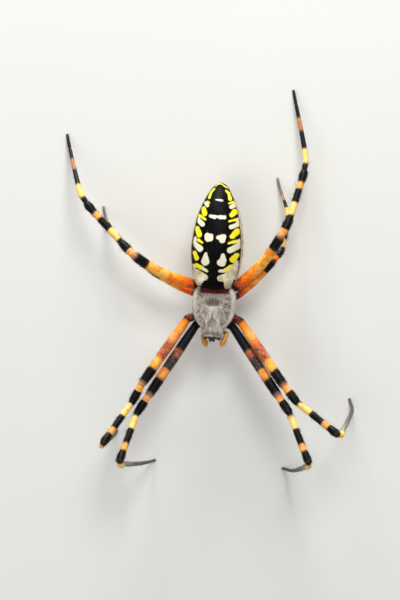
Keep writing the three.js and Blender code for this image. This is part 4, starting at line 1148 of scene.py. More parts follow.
def band_colours(pair, along):
    """The colour bands of a pair of legs, by places that are counted in parts from the body."""
    ramp = add_node("ValToRGB", {"Fac": maths("DIVIDE", along, float(PARTS_IN_ALL))})
    colours = [srgb(*LEG_COLOURS[name.strip("~")]) for _, name in BANDS[pair]]
    stops = ramp.color_ramp.elements
    stops[0].position, stops[0].color = 0.0, colours[0]
    stops[1].position, stops[1].color = 1.0, colours[-1]
    for (start, name), before, colour in zip(BANDS[pair][1:], colours, colours[1:]):
        if not name.startswith("~"):
            stops.new(start / PARTS_IN_ALL - BAND_EDGE).color = before
        stops.new(start / PARTS_IN_ALL + BAND_EDGE).color = colour
    return ramp.outputs["Color"]


@group_once
def leg_pattern(tree, pair):
    """Bands of one pair of legs, with the flecks and clouds of the orange parts."""
    place = object_place(tree)
    along = value_of(tree, "along")
    bands = band_colours(pair, plus(along, ripple(place, 0.05, 7.0)))
    red, _, blue = add_node("SeparateColor", {0: bands}).outputs
    warm = step(maths("SUBTRACT", red, blue), 0.15, 0.4)
    dark = rest_of(step(add_node("RGBToBW", {0: bands}).outputs[0], 0.03, 0.09))
    tone = noise(place, 0.75, 3.0, 0.6)
    on_femur = times(between(along, 1.02, 1.8, 0.08, 0.06), warm)
    start, end, brown = MOTTLES[pair]
    mottled = between(along, start, end, 0.06, 0.06)
    # Paler clouds on the coxae: partly their own mottle, partly painted highlights.
    coxa_mottle_and_highlights = clouds(place, 0.42, 0.72, 2.2, 4.0, 0.65, most=0.75)
    coxa_mottle_and_highlights = times(step(along, 1.02, 0.98), coxa_mottle_and_highlights, COXA_GLOW[pair])
    start, end, strength = FLECKS[pair]
    specks = step(cells(place, 2.9), 0.26, 0.13)
    specks = times(specks, clouds(place, 0.42, 0.56, 0.9))
    flecked = times(between(along, start, end, 0.05, 0.05), strength)
    colour = painted(
        bands,
        (times(on_femur, step(tone, 0.56, 0.42, 0.0, FLAME[pair])), ink("flame")),
        (times(warm, step(tone, 0.54, 0.72, 0.0, 0.35)), ink("honey")),
        (times(clouds(place, 0.45, 0.6, 2.6, 4.0, 0.65, most=0.8), mottled), srgb(*brown)),
        (times(clouds(place, 0.54, 0.68, 5.0, most=0.4), mottled), ink("dust")),
        (coxa_mottle_and_highlights, ink("coxa")),
        (times(specks, flecked), ink("fleck")),
        # painted bluish sheen, in clouds over the dark bands
        (times(clouds(place, 0.5, 0.7, 1.3, 3.0, most=0.35), dark), ink("blue sheen")),
    )
    return {"Colour": colour, "Dark": dark}


def new_material(name, roughness=0.5, specular=0.5, coat=0.0, coat_roughness=0.25, sheen=0.0):
    """A material with its tree and its shader. Roughness is left out where a pattern gives it."""
    material = bpy.data.materials.new(name)
    material.use_nodes = True
    tree = material.node_tree
    shader = tree.nodes["Principled BSDF"]
    for socket, value in {"Roughness": roughness, "Specular IOR Level": specular, "Coat Weight": coat,
                          "Coat Roughness": coat_roughness, "Sheen Weight": sheen}.items():
        shader.inputs[socket].default_value = value
    return material, tree, shader


def give(shader, socket, value):
    shader.id_data.links.new(value, shader.inputs[socket])


def use_group(tree, group):
    return add_node("Group", {}, tree, node_tree=group).outputs


def add_bump(shader, height, depth, strength):
    """Gives a shader a bump, as deep as depth in mm."""
    bump = add_node("Bump", {"Height": height, "Strength": strength, "Distance": depth * MM})
    give(shader, "Normal", bump.outputs["Normal"])


def add_grain(shader, depth, strength=0.6):
    """Gives a shader the bump of the cuticle's grain, and returns what the grain puts out."""
    grain = use_group(shader.id_data, cuticle_grain())
    add_bump(shader, grain["Height"], depth, strength)
    return grain


def carapace_material():
    material, tree, shader = new_material("carapace_skin", specular=0.3, sheen=0.35)
    down, grain = use_group(tree, silver_down()), use_group(tree, cuticle_grain())
    give(shader, "Base Color", down["Colour"])
    give(shader, "Roughness", step(down["Bare"], 0, 1, 0.66, 0.36))
    height = plus(times(down["Fur"], 0.8), times(grain["Height"], 0.35))
    add_bump(shader, height, depth=0.07, strength=0.8)
    return material


def marked_material(name, pattern, mask, roughness, specular, depth, strength):
    """Cuticle with a pattern, whose roughness follows one of the pattern's masks, from 0 to 1."""
    material, tree, shader = new_material(name, specular=specular)
    marks, grain = use_group(tree, pattern), add_grain(shader, depth, strength)
    give(shader, "Base Color", marks["Colour"])
    rough = plus(step(marks[mask], 0, 1, *roughness), times(grain["Mask"], 0.12))
    give(shader, "Roughness", rough)
    return material


def clouded_material(name, first, second, roughness, scale, depth, coat):
    """A cuticle of two colours that run into each other in clouds."""
    material, tree, shader = new_material(name, roughness, coat=coat)
    share = clouds(object_place(tree), 0.35, 0.65, scale, 3.0, 0.6)
    give(shader, "Base Color", mix(share, srgb(*first), srgb(*second)))
    add_grain(shader, depth)
    return material


def underside_material():
    """Dark brown underside with the pale streak down the sternum."""
    material, tree, shader = new_material("underside_skin", roughness=0.45)
    place = object_place(tree)
    x, y, z = axes_of(place)
    aside = plus(maths("ABSOLUTE", x), times(noise(place, 1.5), 0.3))
    aside = plus(aside, step(y, -0.4, 1.7, 0.0, 0.4))
    streak = times(step(aside, 0.52, 0.4), step(z, 4.62, 4.5), step(y, 1.45, 1.2))
    colour = painted(ink("dark under"), (clouds(place, 0.4, 0.7, 1.9, 3.0), ink("brown under")),
                     (streak, ink("streak")))
    give(shader, "Base Color", colour)
    add_grain(shader, depth=0.04)
    return material


def mouth_material(name, pale, dark, dark_from, dark_to):
    """Tawny at the root and dark towards the end, over shares of its length."""
    material, tree, shader = new_material(name, roughness=0.38, coat=0.2)
    place = object_place(tree)
    along = plus(value_of(tree, "along"), times(noise(place, 4.0), 0.12))
    browner = [level * share for level, share in zip(pale, ink("tan"))]
    tawny = mix(clouds(place, 0.35, 0.65, 2.8, 3.0), pale, browner)
    colour = mix(step(along, dark_from, dark_to), tawny, srgb(*dark))
    give(shader, "Base Color", colour)
    add_grain(shader, depth=0.03)
    return material


def skin_materials():
    """The materials of the skin, in the order of REGIONS."""
    horn = tuple(bpy.context.scene.spider_skin.horn)
    made = {
        "carapace": carapace_material(),
        "underside": underside_material(),
        "abdomen": marked_material("abdomen_skin", abdomen_pattern(), "Pale", roughness=(0.42, 0.5),
                                   specular=0.07, depth=0.03, strength=0.55),
        "spinneret": clouded_material("spinneret_skin", (70, 36, 20), (120, 72, 36), roughness=0.5,
                                      scale=2.2, depth=0.04, coat=0.1),
        "chelicera": mouth_material("chelicera_skin", horn, (96, 46, 20), 0.7, 1.05),
        "palp": mouth_material("palp_skin", srgb(255, 214, 108), (255, 162, 30), 0.45, 0.8),
    }
    for pair in LEG_LENGTHS:
        made[f"leg_{pair}"] = marked_material(f"leg_{pair}_skin", leg_pattern(pair), "Dark", specular=0.16,
                                              roughness=(0.42, 0.34), depth=0.035, strength=0.7)
    return [made[region] for region in REGIONS]


def hair_material(name, pattern, tint, share):
    """The skin's own pattern on hair, with a share of a tint, so that skin and coat look alike."""
    material, tree, shader = new_material(name, roughness=0.5, specular=0.25)
    colour = mix(share, use_group(tree, pattern)["Colour"], srgb(*tint))
    strands = clouds(object_place(tree), 0.3, 0.7, 5.0, most=0.4)
    colour = mix(strands, colour, darkened(colour, ink("hair shade")))
    give(shader, "Base Color", colour)
    return material


def bristle_material(name, dark, pale):
    material, tree, shader = new_material(name, roughness=0.4)
    share = clouds(object_place(tree), 0.35, 0.65, 3.0)
    give(shader, "Base Color", mix(share, srgb(*dark), srgb(*pale)))
    return material


# ---------- hairs
# How the hairs of each coat lie: the parts of the skin that they stand on, the seed of their draws,
# how far they stray from the lie of the skin, their sizes about 1 (spread, least and most), their
# width in mm, their angle off the skin in degrees (least and most, or mean, spread, least and most)
# and how far their tips sag, by their length.

COATS = {
    "carapace": {"on": ("carapace",), "seed": 11, "stray": 0.2, "sizes": (0.22, 0.5, 1.6), "width": 0.0105,
                 "lift": (3, 13), "sag": (0.02, 0.1)},
    "abdomen": {"on": ("abdomen", "spinneret"), "seed": 23, "stray": 0.3, "sizes": (0.25, 0.5, 1.8),
                "width": 0.008, "lift": (18, 48), "sag": (0.0, 0.12)},
    "legs": {"on": tuple(f"leg_{pair}" for pair in LEG_LENGTHS), "seed": 37, "stray": 0.16,
             "sizes": (0.3, 0.45, 2.0), "width": 0.008, "lift": (24, 9, 8, 60), "sag": (0.0, 0.15)},
    "face": {"on": ("palp", "chelicera"), "seed": 51, "stray": 0.2, "sizes": (0.35, 0.4, 2.2),
             "width": 0.0075, "lift": (32, 12, 10, 75), "sag": (0.0, 0.12)},
}
BRISTLE_LENGTH = 0.24
SPINES = {"seed": 67, "root_width": 0.018, "width_share": 0.012, "lift": (24, 46), "sag": (0.02, 0.12)}
# Where spines stand: share of the part, degrees about it (90 is its upper side), and length in mm.
SPINE_PLACES = {
    "femur": ((0.22, 65, 0.8), (0.4, 118, 0.8), (0.55, 80, 0.85), (0.7, 35, 0.85), (0.72, 145, 0.85),
              (0.9, 60, 0.8), (0.9, 125, 0.8), (0.6, -60, 0.6), (0.82, -120, 0.6)),
    "patella": ((0.2, 90, 0.7), (0.85, 90, 0.9), (0.6, 10, 0.7), (0.6, 170, 0.7)),
    "tibia": ((0.15, 80, 0.9), (0.35, 20, 0.95), (0.4, 160, 0.95), (0.55, 95, 1.0), (0.7, 30, 0.95),
              (0.75, 150, 0.95), (0.3, -70, 0.8), (0.5, -115, 0.8), (0.8, -65, 0.8), (0.93, -110, 0.7)),
    "foot": ((0.12, 70, 0.7), (0.2, 10, 0.75), (0.24, 170, 0.75), (0.36, 100, 0.65), (0.45, -70, 0.6),
             (0.5, -120, 0.6), (0.62, 60, 0.5), (0.7, -90, 0.4)),
}
SHORT_SPINES = 0.75  # of the third pair, by the others'

HAIR_RING = ((-1.0, -0.35), (1.0, -0.35), (0.0, 0.75))  # a hair's section, by its width
HAIR_SUNK, HAIR_TAPER = 0.8, 0.75  # how deep its root stands, and its width half way, by its width
HAIR_POINTS = 7
HAIR_FACES = np.array(((0, 2, 1), (0, 1, 4), (0, 4, 3), (1, 2, 5), (1, 5, 4), (2, 0, 3), (2, 3, 5),
                       (3, 4, 6), (4, 5, 6), (5, 3, 6)))
# Where a hair's points lie in its patch on the bake map.
HAIR_ON_MAP = ((0, 0), (1, 0), (0.5, 1), (0.2, 0.4), (0.8, 0.4), (0.5, 0.8), (0.5, 0.5))
PATCH = 0.003  # size on the bake map of the patch that one hair takes
OVER_FLOOR = 0.01  # no point of a hair is lower

Hairs = namedtuple("Hairs", "place outward lie size lift sag values")


def the_skin():
    skin = bpy.data.objects.get("skin")
    if skin is None:
        raise RuntimeError("make the skin first: hairs grow from it")
    return skin


def roots_on(skin, regions, count, draw, keep=None):
    """Random places on parts of the skin: point, outward way, way backwards and kept values. keep
    gives how thickly hairs stand at a place."""
    mesh = skin.data
    mesh.calc_loop_triangles()
    corners = read_array(mesh.loop_triangles, "vertices", np.int64, 3)
    region = read_array(mesh.polygons, "material_index", np.int64)
    region = region[read_array(mesh.loop_triangles, "polygon_index", np.int64)]
    points = body_places(mesh.vertices, "co")
    a, b, c = (points[corners[:, k]] for k in range(3))
    cross = np.cross(b - a, c - a)
    area = np.linalg.norm(cross, axis=1) * np.isin(region, [REGIONS.index(name) for name in regions])
    if keep is not None:
        area = area * keep((a + b + c) / 3)
    chosen = draw.choice(len(corners), size=count, p=area / area.sum())
    s, t = draw.random(count), draw.random(count)
    fold = s + t > 1
    s, t = np.where(fold, 1 - s, s), np.where(fold, 1 - t, t)
    place = a[chosen] + s[:, None] * (b - a)[chosen] + t[:, None] * (c - a)[chosen]
    corner = corners[chosen, 0]
    values = {name: read_array(mesh.attributes[name].data, "value", np.float32)[corner] for name in VALUES}
    values["region"] = region[chosen]
    way = read_array(mesh.attributes["way"].data, "vector", np.float32, 3)[corner]
    return place, unit(cross[chosen]), way, values


def scatter_hairs(kind, asked, seed_step=0, keep=None, comb=None):
    """The hairs of a coat. comb changes which way some of them lie."""
    coat = COATS[kind]
    count = asked
    draw = np.random.default_rng(coat["seed"] + seed_step)
    place, outward, way, values = roots_on(the_skin(), coat["on"], count, draw, keep)
    lie = way + draw.normal(0, coat["stray"], (count, 3))
    if comb is not None:
        comb(place, lie, draw)
    spread, least, most = coat["sizes"]
    size = np.clip(draw.normal(1, spread, count), least, most)
    lift = coat["lift"]
    if len(lift) == 2:
        degrees = draw.uniform(*lift, count)
    else:
        degrees = np.clip(draw.normal(*lift[:2], count), *lift[2:])
    return Hairs(place, outward, lie, size, np.radians(degrees), draw.uniform(*coat["sag"], count), values)


def make_hairs(name, hairs, length, width, chart):
    """A piece of hairs, each a bent closed spike of ten triangles, from lengths and widths in mm and
    the places of their roots on the bake map."""
    outward = hairs.outward
    lie = unit(hairs.lie - outward * np.sum(hairs.lie * outward, 1, keepdims=True))
    way = lie * np.cos(hairs.lift)[:, None] + outward * np.sin(hairs.lift)[:, None]
    side = unit(np.cross(way, outward))
    over = np.cross(side, way)
    long, wide = length[:, None], width[:, None]
    base = hairs.place - outward * wide * HAIR_SUNK
    middle = hairs.place + way * long * 0.5
    tip = hairs.place + way * long - outward * long * hairs.sag[:, None]
    near = [base + wide * (a * side + b * over) for a, b in HAIR_RING]
    halfway = [middle + wide * HAIR_TAPER * (a * side + b * over) for a, b in HAIR_RING]
    points = np.stack([*near, *halfway, tip], 1)
    points[..., 2] = np.maximum(points[..., 2], OVER_FLOOR)
    faces = (HAIR_FACES + HAIR_POINTS * np.arange(len(length))[:, None, None]).reshape(-1, 3)
    piece = new_piece(name, points.reshape(-1, 3), faces.tolist())
    spots = (chart[:, None] + np.array(HAIR_ON_MAP) * PATCH).reshape(-1, 2)
    layer = piece.data.uv_layers.new(name="OFBake")
    layer.data.foreach_set("uv", spots[faces.ravel()].ravel().astype(np.float32))
    for key in VALUES:
        if key in hairs.values:
            store(piece.data, key, np.repeat(hairs.values[key], HAIR_POINTS))
    piece.data.shade_smooth()
    return piece


def lay_coat(name, kind, hairs, length, chart, materials):
    """A piece of one coat's hairs, as wide as the coat's are by their sizes."""
    piece = make_hairs(name, hairs, length, COATS[kind]["width"] * hairs.size, chart)
    finish_piece(piece, materials)
    return piece


def chart_place(values, columns, column, longest=1.0):
    """Places on the bake map: a strip for each column, across by turn and up by length."""
    across = (column + 0.04 + 0.9 * values["around"]) / columns
    up = 0.01 + 0.97 * np.clip(values["along"].astype(float) / longest, 0, 1)
    return np.column_stack([across, up])


def finish_piece(piece, materials, replaced=()):
    """Gives a piece its materials and ties it to the body of the model."""
    piece.data.materials.clear()
    for material in materials:
        piece.data.materials.append(material)
    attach(piece, "root")
    if replaced:
        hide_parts(*replaced)


# ---------- operators: one for each piece

# A horn is a disc that is extruded in steps, each given as its length and the size that it leaves.
FANG = {"root": (0.6, -3.8, 4.42), "inner": (-1.0, 0.5, -0.1), "bend": 12.0,
        "steps": ((0.1, 0.98), (0.12, 0.86), (0.12, 0.82), (0.12, 0.74), (0.1, 0.6), (0.08, 0.35))}
CLAW = {"radius": 0.045, "bend": 17.0, "step": 0.055, "sizes": (0.96, 0.9, 0.82, 0.7, 0.5), "forward": 0.02}
CLAWS = ((0.07, 1.0, 0.1), (-0.07, 1.0, 0.1), (0.0, 0.6, -0.4))  # aside, length by the longest, rise
DOWNWARDS = (0.0, 0.0, -1.0)
EYE_DEPTH = 0.96  # of an eye from front to back, by its width
SMOOTH_UNDER = 50  # degrees between faces, past which an edge of the skin stays sharp


class SPIDER_OT_skin(Operator):
    """Make the one skin that covers the body and the eight legs"""

    bl_idname = "spider.skin"
    bl_label = "Skin"

    def execute(self, context):
        shells = [*carapace_shells(), *underside_shells(), *mouth_shells(), abdomen_shell(),
                  *spinneret_shells(), *leg_shells()]
        skin = fuse("skin", shells)
        keep_values(skin, shells)
        names = ["carapace", "sternum", "pedicel", "abdomen", "spinnerets"]
        for side in SIDES:
            names += [f"chelicera_{side}", f"palp_{side}"]
            names += [f"leg_{pair}_{side}_{part}" for pair in LEG_LENGTHS for part in LEG_PARTS]
        region = read_array(skin.data.polygons, "material_index", np.int32)
        finish_piece(skin, skin_materials(), names)
        skin.data.polygons.foreach_set("material_index", region)
        choose(skin)
        bpy.ops.object.shade_smooth_by_angle(angle=math.radians(SMOOTH_UNDER))
        return {"FINISHED"}


class SPIDER_OT_eyes(Operator):
    """Make the eight glossy eyes, each in its collar"""

    bl_idname = "spider.eyes"
    bl_label = "Eyes"

    def execute(self, context):
        material, tree, shader = new_material("eye", roughness=0.05, specular=0.6, coat=1.0,
                                              coat_roughness=0.02)
        depth = noise(object_place(tree), 5.0, 1.0)
        give(shader, "Base Color", mix(depth, srgb(3, 3, 4), srgb(16, 10, 8)))
        for name, (centre, radius, outward) in eye_places().items():
            deselect_all()
            bpy.ops.mesh.primitive_uv_sphere_add(segments=32, ring_count=20, radius=radius * MM)
            eye = context.object
            eye.name = name.replace("eye", "lens")
            edit_all()
            bpy.ops.transform.resize(value=(1.0, 1.0, EYE_DEPTH))
            bpy.ops.object.mode_set(mode="OBJECT")
            turn = Vector(outward).to_track_quat("Z", "Y").to_matrix().to_4x4()
            eye.data.transform(Matrix.Translation(scene_place(centre)) @ turn)
            eye.data.shade_smooth()
            finish_piece(eye, [material], [name])
        return {"FINISHED"}


def edit_all():
    bpy.ops.object.mode_set(mode="EDIT")
    bpy.ops.mesh.select_all(action="SELECT")


def grow_horn(name, start, way, inner, steps, radius, bend):
    """A curved horn, which narrows and turns inwards at each of its steps."""
    deselect_all()
    bpy.ops.mesh.primitive_circle_add(vertices=16, radius=radius * MM, fill_type="NGON")
    horn = bpy.context.object
    horn.name = name
    across = unit(np.cross(way, inner))
    over = np.cross(across, way)
    turn = Matrix(np.column_stack([across, over, way]).tolist()).to_4x4()
    horn.data.transform(Matrix.Translation(scene_place(start)) @ turn)
    edit_all()
    spin = np.array(Matrix.Rotation(math.radians(bend), 3, Vector(across)))
    centre, heading = np.array(start, float), np.array(way, float)
    for length, scale in steps:
        move = heading * length
        bpy.ops.mesh.extrude_region_move(TRANSFORM_OT_translate={"value": tuple(move * MM)})
        centre = centre + move
        bpy.ops.transform.resize(value=(scale,) * 3, center_override=tuple(scene_place(centre)))
        heading = spin @ heading
        turn_selected(horn, centre, spin)
    bpy.ops.object.mode_set(mode="OBJECT")
    choose(horn)
    edit_all()
    bpy.ops.mesh.normals_make_consistent(inside=False)
    bpy.ops.object.mode_set(mode="OBJECT")
    smoother = horn.modifiers.new("Smooth", "SUBSURF")
    smoother.levels = smoother.render_levels = 1
    bpy.ops.object.modifier_apply(modifier=smoother.name)
    horn.data.shade_smooth()
    return horn


def turn_selected(piece, centre, spin):
    """Turns the selected points of a piece in edit mode about a centre in millimetres."""
    bpy.ops.object.mode_set(mode="OBJECT")
    middle = np.asarray(centre) * MM + STANDS_AT
    for vertex in piece.data.vertices:
        if vertex.select:
            vertex.co = Vector(middle + spin @ (np.array(vertex.co) - middle))
    bpy.ops.object.mode_set(mode="EDIT")


class SPIDER_OT_fangs(Operator):
    """Make the two fangs, folded inwards under the jaws"""

    bl_idname = "spider.fangs"
    bl_label = "Fangs"

    def execute(self, context):
        material = clouded_material("fang", (38, 12, 8), (84, 26, 12), roughness=0.22, scale=4.0, depth=0.01,
                                    coat=0.5)
        for side, sign in SIDES.items():
            root, inner = mirrored(FANG["root"], sign), unit(mirrored(FANG["inner"], sign))
            horn = grow_horn(f"horn_of_fang_{side}", root, np.array(DOWNWARDS), inner, FANG["steps"],
                             FANG_RADIUS, FANG["bend"])
            finish_piece(horn, [material], [f"fang_{side}"])
        return {"FINISHED"}


class SPIDER_OT_claws(Operator):
    """Make two claws and a small hook on each foot"""

    bl_idname = "spider.claws"
    bl_label = "Claws"

    def execute(self, context):
        material = clouded_material("claw", (20, 14, 12), (60, 38, 24), roughness=0.3, scale=6.0, depth=0.01,
                                    coat=0.3)
        for pair, side in STANCE:
            *_, wrist, tip = leg_joints(pair, side)
            landing = unit((tip - wrist) * [1, 1, 0])
            aside = np.array([-landing[1], landing[0], 0.0])
            horns = []
            for number, (share, length, rise) in enumerate(CLAWS):
                start = tip * [1, 1, 0] + aside * share + landing * CLAW["forward"] + [0, 0, TIP_HEIGHT]
                way = unit(landing * 0.85 + [0, 0, rise] + aside * share * 3)
                steps = tuple((CLAW["step"] * length, size) for size in CLAW["sizes"])
                horns.append(grow_horn(f"claw_{number}", start, way, np.array(DOWNWARDS), steps,
                                       CLAW["radius"], CLAW["bend"]))
            choose(horns[0])
            for horn in horns[1:]:
                horn.select_set(True)
            bpy.ops.object.join()
            claws = horns[0]
            claws.name = f"claws_{pair}_{side}"
            finish_piece(claws, [material])
        return {"FINISHED"}


def fur_of_carapace(place):
    """How thickly the carapace is haired: not beneath or about the eyes, thinly on its bare rear."""
    eyes = np.array([centre for centre, _, _ in eye_places().values()])
    near_eye = np.linalg.norm(place[:, None] - eyes[None], axis=2).min(1) < 0.34
    rear = (place[:, 1] > 1.95) & (np.abs(place[:, 0]) < 2.1)
    face = place[:, 1] < -4.0
    return (place[:, 2] > 7.25) * ~near_eye * np.where(rear, 0.08, 1.0) * np.where(face, 0.12, 1.0)


def comb_head(place, lie, draw):
    """Makes the hairs of the head lie forwards."""
    head = place[:, 1] < -2.6
    lie[head] = np.array([0, -1.0, 0]) + draw.normal(0, 0.25, (head.sum(), 3))


class SPIDER_OT_carapace_coat(Operator):
    """Lay silvery hairs over the carapace, spreading from its middle"""

    bl_idname = "spider.carapace_coat"
    bl_label = "Coat of the carapace"

    def execute(self, context):
        settings = context.scene.spider_coat
        hairs = scatter_hairs("carapace", settings.carapace_hairs, keep=fur_of_carapace, comb=comb_head)
        hairs.size[:] *= np.where(hairs.values["rim"] < 0.5, 1.25, 1.0)
        chart = np.column_stack([hairs.values["around"], np.clip(hairs.values["along"], 0, 1)]) * 0.98
        material = hair_material("carapace_hair", silver_down(), tint=(244, 238, 230), share=0.16)
        lay_coat("coat_carapace", "carapace", hairs, hairs.size * settings.carapace_length / MM, chart,
                 [material])
        return {"FINISHED"}


class SPIDER_OT_abdomen_coat(Operator):
    """Scatter short hairs over the abdomen and the spinnerets"""

    bl_idname = "spider.abdomen_coat"
    bl_label = "Coat of the abdomen"

    def execute(self, context):
        settings = context.scene.spider_coat
        hairs = scatter_hairs("abdomen", settings.abdomen_hairs)
        values = hairs.values
        column = np.where(values["region"] == REGIONS.index("spinneret"), 7, values["around"] * 6.6)
        chart = np.column_stack([column / 8 + 0.01, np.clip(values["along"], 0, 1) * 0.98])
        material = hair_material("abdomen_hair", abdomen_pattern(), tint=(30, 26, 22), share=0.15)
        lay_coat("coat_abdomen", "abdomen", hairs, hairs.size * settings.abdomen_length / MM, chart,
                 [material])
        return {"FINISHED"}


def on_black(along, pairs):
    """Whether places along legs of some pairs are on a black band, where the hair is longest."""
    found = np.zeros(len(along), bool)
    for pair, bands in BANDS.items():
        starts, names = zip(*bands)
        band = np.maximum(0, np.searchsorted(starts, along, "right") - 1)
        found |= (pairs == pair) & np.array([name == "black" for name in names])[band]
    return found


class SPIDER_OT_leg_coats(Operator):
    """Grow the short hairs of the legs, one piece for each side"""

    bl_idname = "spider.leg_coats"
    bl_label = "Coats of the legs"

    def execute(self, context):
        settings = context.scene.spider_coat
        materials = [hair_material(f"leg_{pair}_hair", leg_pattern(pair), tint=(40, 30, 28), share=0.25)
                     for pair in LEG_LENGTHS]
        for number, (side, sign) in enumerate(SIDES.items()):
            hairs = scatter_hairs("legs", settings.leg_hairs, number,
                                  keep=lambda place, sign=sign: place[:, 0] * sign > 0)
            along = hairs.values["along"]
            pair = hairs.values["region"] - REGIONS.index("leg_1")
            hairs.size[:] *= np.where(along > LEG_PARTS.index("foot"), 0.8, 1.0)
            hairs.size[:] *= np.where(on_black(along, pair + 1), 1.35, 0.8)
            chart = chart_place(hairs.values, len(LEG_LENGTHS), pair, PARTS_IN_ALL)
            piece = lay_coat(f"coat_legs_{side}", "legs", hairs, hairs.size * settings.leg_length / MM,
                             chart, materials)
            region = np.repeat(pair, len(HAIR_FACES)).astype(np.int32)
            piece.data.polygons.foreach_set("material_index", region)
        return {"FINISHED"}


class SPIDER_OT_face_bristles(Operator):
    """Grow the bristles of palps and chelicerae"""

    bl_idname = "spider.face_bristles"
    bl_label = "Bristles of the face"

    def execute(self, context):
        hairs = scatter_hairs("face", context.scene.spider_coat.face_bristles)
        on_palps = hairs.values["region"] == REGIONS.index("palp")
        column = np.where(on_palps, 0, 2) + (hairs.place[:, 0] < 0)
        material = bristle_material("face_bristle", (60, 38, 24), (190, 138, 80))
        lay_coat("bristles_face", "face", hairs, BRISTLE_LENGTH * hairs.size,
                 chart_place(hairs.values, 4, column), [material])
        return {"FINISHED"}


class SPIDER_OT_spines(Operator):
    """Set the stout spines on the legs"""

    bl_idname = "spider.spines"
    bl_label = "Spines of the legs"

    def execute(self, context):
        draw = np.random.default_rng(SPINES["seed"])
        roots, outward, ways, lengths, charts = [], [], [], [], []
        for number, (pair, side) in enumerate(STANCE):
            lines = leg_lines(pair, side)
            for part, spots in SPINE_PLACES.items():
                line, radii, upper, counted = lines[part]
                direction = unit(np.gradient(line, axis=0))
                for share, degrees, length in spots:
                    share = share + draw.uniform(-0.03, 0.03)
                    k = int(np.clip(share, 0.03, 0.97) * (len(line) - 1))
                    up = unit(upper - direction[k] * np.dot(upper, direction[k]))
                    across = np.cross(up, direction[k])
                    turn = math.radians(degrees + draw.uniform(-8, 8))
                    out = across * math.cos(turn) + up * math.sin(turn)
                    roots.append(line[k] + out * radii[k])
                    outward.append(out)
                    ways.append(direction[k])
                    lengths.append(length * (SHORT_SPINES if pair == 3 else 1.0) * draw.uniform(0.85, 1.15))
                    strip = number + 0.1 + 0.7 * ((degrees % 360) / 360)
                    charts.append((strip / len(STANCE), counted[k] / PARTS_IN_ALL * 0.98))
        lengths = np.array(lengths)
        lift = np.radians(draw.uniform(*SPINES["lift"], len(roots)))
        sag = draw.uniform(*SPINES["sag"], len(roots))
        spines = Hairs(np.array(roots), np.array(outward), np.array(ways), lengths, lift, sag, {})
        piece = make_hairs("spines", spines, lengths, SPINES["root_width"] + SPINES["width_share"] * lengths,
                           np.array(charts))
        finish_piece(piece, [bristle_material("spine", (12, 9, 10), (46, 30, 24))])
        return {"FINISHED"}


# ---------- stage

CAMERA = {  # degrees, and mm from the point that it looks at; lens and film in mm
    "looks_at": (0.0, 0.0, 8.0), "lean": 5.5, "roll": 2.9, "aside": -1.89, "ahead": 1.12,
    "lens": 257.14, "film": 36.0,
}
LAMPS = {  # place in mm from the body, size in mm, share of the main power, colour
    "main": ((70, 220, 310), 150, 1.15, (1.0, 0.985, 0.96)),
    "front": ((-130, -130, 340), 260, 0.56, (0.98, 0.99, 1.0)),
    "rear": ((-40, 330, 72), 110, 2.2, (1.0, 0.98, 0.95)),
}
LAMPS_AIM_AT = (0, 3, 6)
FLOOR_SIZE = 3.0  # in metres
WORLD = {"colour": (236, 238, 240), "strength": 0.38}


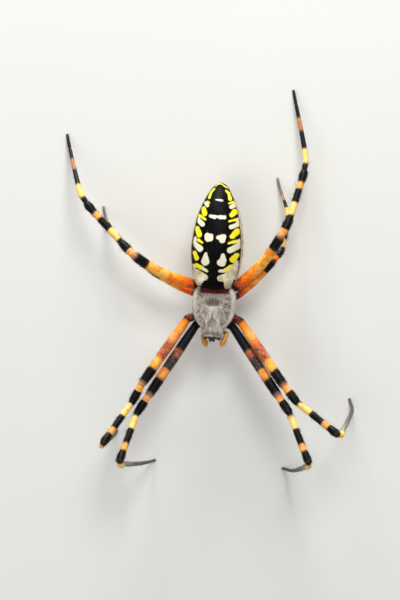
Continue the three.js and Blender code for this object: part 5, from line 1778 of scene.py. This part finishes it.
class SPIDER_OT_stage(Operator):
    """Set the pale floor, the soft lamps and the camera"""

    bl_idname = "spider.stage"
    bl_label = "Floor, lamps and camera"

    def execute(self, context):
        look = context.scene.spider_stage
        self.add_floor(context, look)
        self.add_lamps(context, look)
        self.add_camera(context, look)
        world = bpy.data.worlds.new("studio")
        context.scene.world = world
        world.use_nodes = True
        background = world.node_tree.nodes["Background"]
        background.inputs["Color"].default_value = srgb(*WORLD["colour"])
        background.inputs["Strength"].default_value = WORLD["strength"]
        context.scene.view_settings.view_transform = "Standard"
        return {"FINISHED"}

    def add_floor(self, context, look):
        deselect_all()
        bpy.ops.mesh.primitive_plane_add(size=FLOOR_SIZE)
        floor = context.object
        floor.name = "floor"
        material, tree, shader = new_material("studio_floor", roughness=0.75, specular=0.25)
        cloud = clouds(object_place(tree), 0.3, 0.7, 0.02, most=0.06)
        tone = mix(cloud, tuple(look.floor), srgb(250, 250, 250))
        give(shader, "Base Color", tone)
        floor.data.materials.append(material)

    def add_lamps(self, context, look):
        aim = scene_place(LAMPS_AIM_AT)
        for name, (place, size, share, colour) in LAMPS.items():
            bpy.ops.object.light_add(type="AREA", location=scene_place(place))
            lamp = context.object
            lamp.name = f"lamp_{name}"
            lamp.data.energy = look.lamp_power * share
            lamp.data.size = size * MM
            lamp.data.color = colour
            lamp.rotation_euler = (aim - lamp.location).to_track_quat("-Z", "Y").to_euler()

    def add_camera(self, context, look):
        lean, roll = math.radians(CAMERA["lean"]), math.radians(CAMERA["roll"])
        spin = np.array(Matrix.Rotation(roll, 3, "Z"))
        forward = spin @ [-math.sin(lean), 0, -math.cos(lean)]
        right = spin @ [math.cos(lean), 0, -math.sin(lean)]
        over = spin @ [0, 1, 0]
        place = STANDS_AT + np.array(CAMERA["looks_at"]) * MM - forward * look.camera_height
        place = place + (right * CAMERA["aside"] + over * CAMERA["ahead"]) * MM
        bpy.ops.object.camera_add(location=place)
        camera = context.object
        camera.rotation_euler = Matrix(np.column_stack([right, over, -forward]).tolist()).to_euler()
        camera.data.sensor_fit = "VERTICAL"
        camera.data.sensor_height = camera.data.sensor_width = CAMERA["film"]
        camera.data.lens = CAMERA["lens"]
        camera.data.clip_start, camera.data.clip_end = 0.01, 10
        context.scene.camera = camera


class SPIDER_PT_panel(Panel):
    """The spider's pieces and settings, in the sidebar"""

    bl_label = "Yellow garden spider"
    bl_space_type = "VIEW_3D"
    bl_region_type = "UI"
    bl_category = "Spider"

    def draw(self, context):
        for settings in ("spider_skin", "spider_coat", "spider_stage"):
            box = self.layout.box()
            group = getattr(context.scene, settings)
            for name in group.__annotations__:
                box.prop(group, name)
        for operator in OPERATORS:
            self.layout.operator(operator.bl_idname)


SETTINGS = {"spider_skin": SpiderSkin, "spider_coat": SpiderCoat, "spider_stage": SpiderStage}
OPERATORS = (SPIDER_OT_skin, SPIDER_OT_eyes, SPIDER_OT_fangs, SPIDER_OT_claws, SPIDER_OT_carapace_coat,
             SPIDER_OT_abdomen_coat, SPIDER_OT_leg_coats, SPIDER_OT_face_bristles, SPIDER_OT_spines,
             SPIDER_OT_stage)


def register():
    for made in (*SETTINGS.values(), *OPERATORS, SPIDER_PT_panel):
        bpy.utils.register_class(made)
    for name, group in SETTINGS.items():
        setattr(bpy.types.Scene, name, PointerProperty(type=group))


def unregister():
    for name in SETTINGS:
        delattr(bpy.types.Scene, name)
    for made in (SPIDER_PT_panel, *reversed(OPERATORS), *reversed(SETTINGS.values())):
        bpy.utils.unregister_class(made)


def main():
    for leftover in ("Cube", "Light", "Camera"):
        if leftover in bpy.data.objects:
            bpy.data.objects.remove(bpy.data.objects[leftover])
    register()
    bpy.ops.spider.skin()
    bpy.ops.spider.eyes()
    bpy.ops.spider.fangs()
    bpy.ops.spider.claws()
    bpy.ops.spider.carapace_coat()
    bpy.ops.spider.abdomen_coat()
    bpy.ops.spider.leg_coats()
    bpy.ops.spider.face_bristles()
    bpy.ops.spider.spines()
    bpy.ops.spider.stage()


if __name__ == "__main__":
    main()
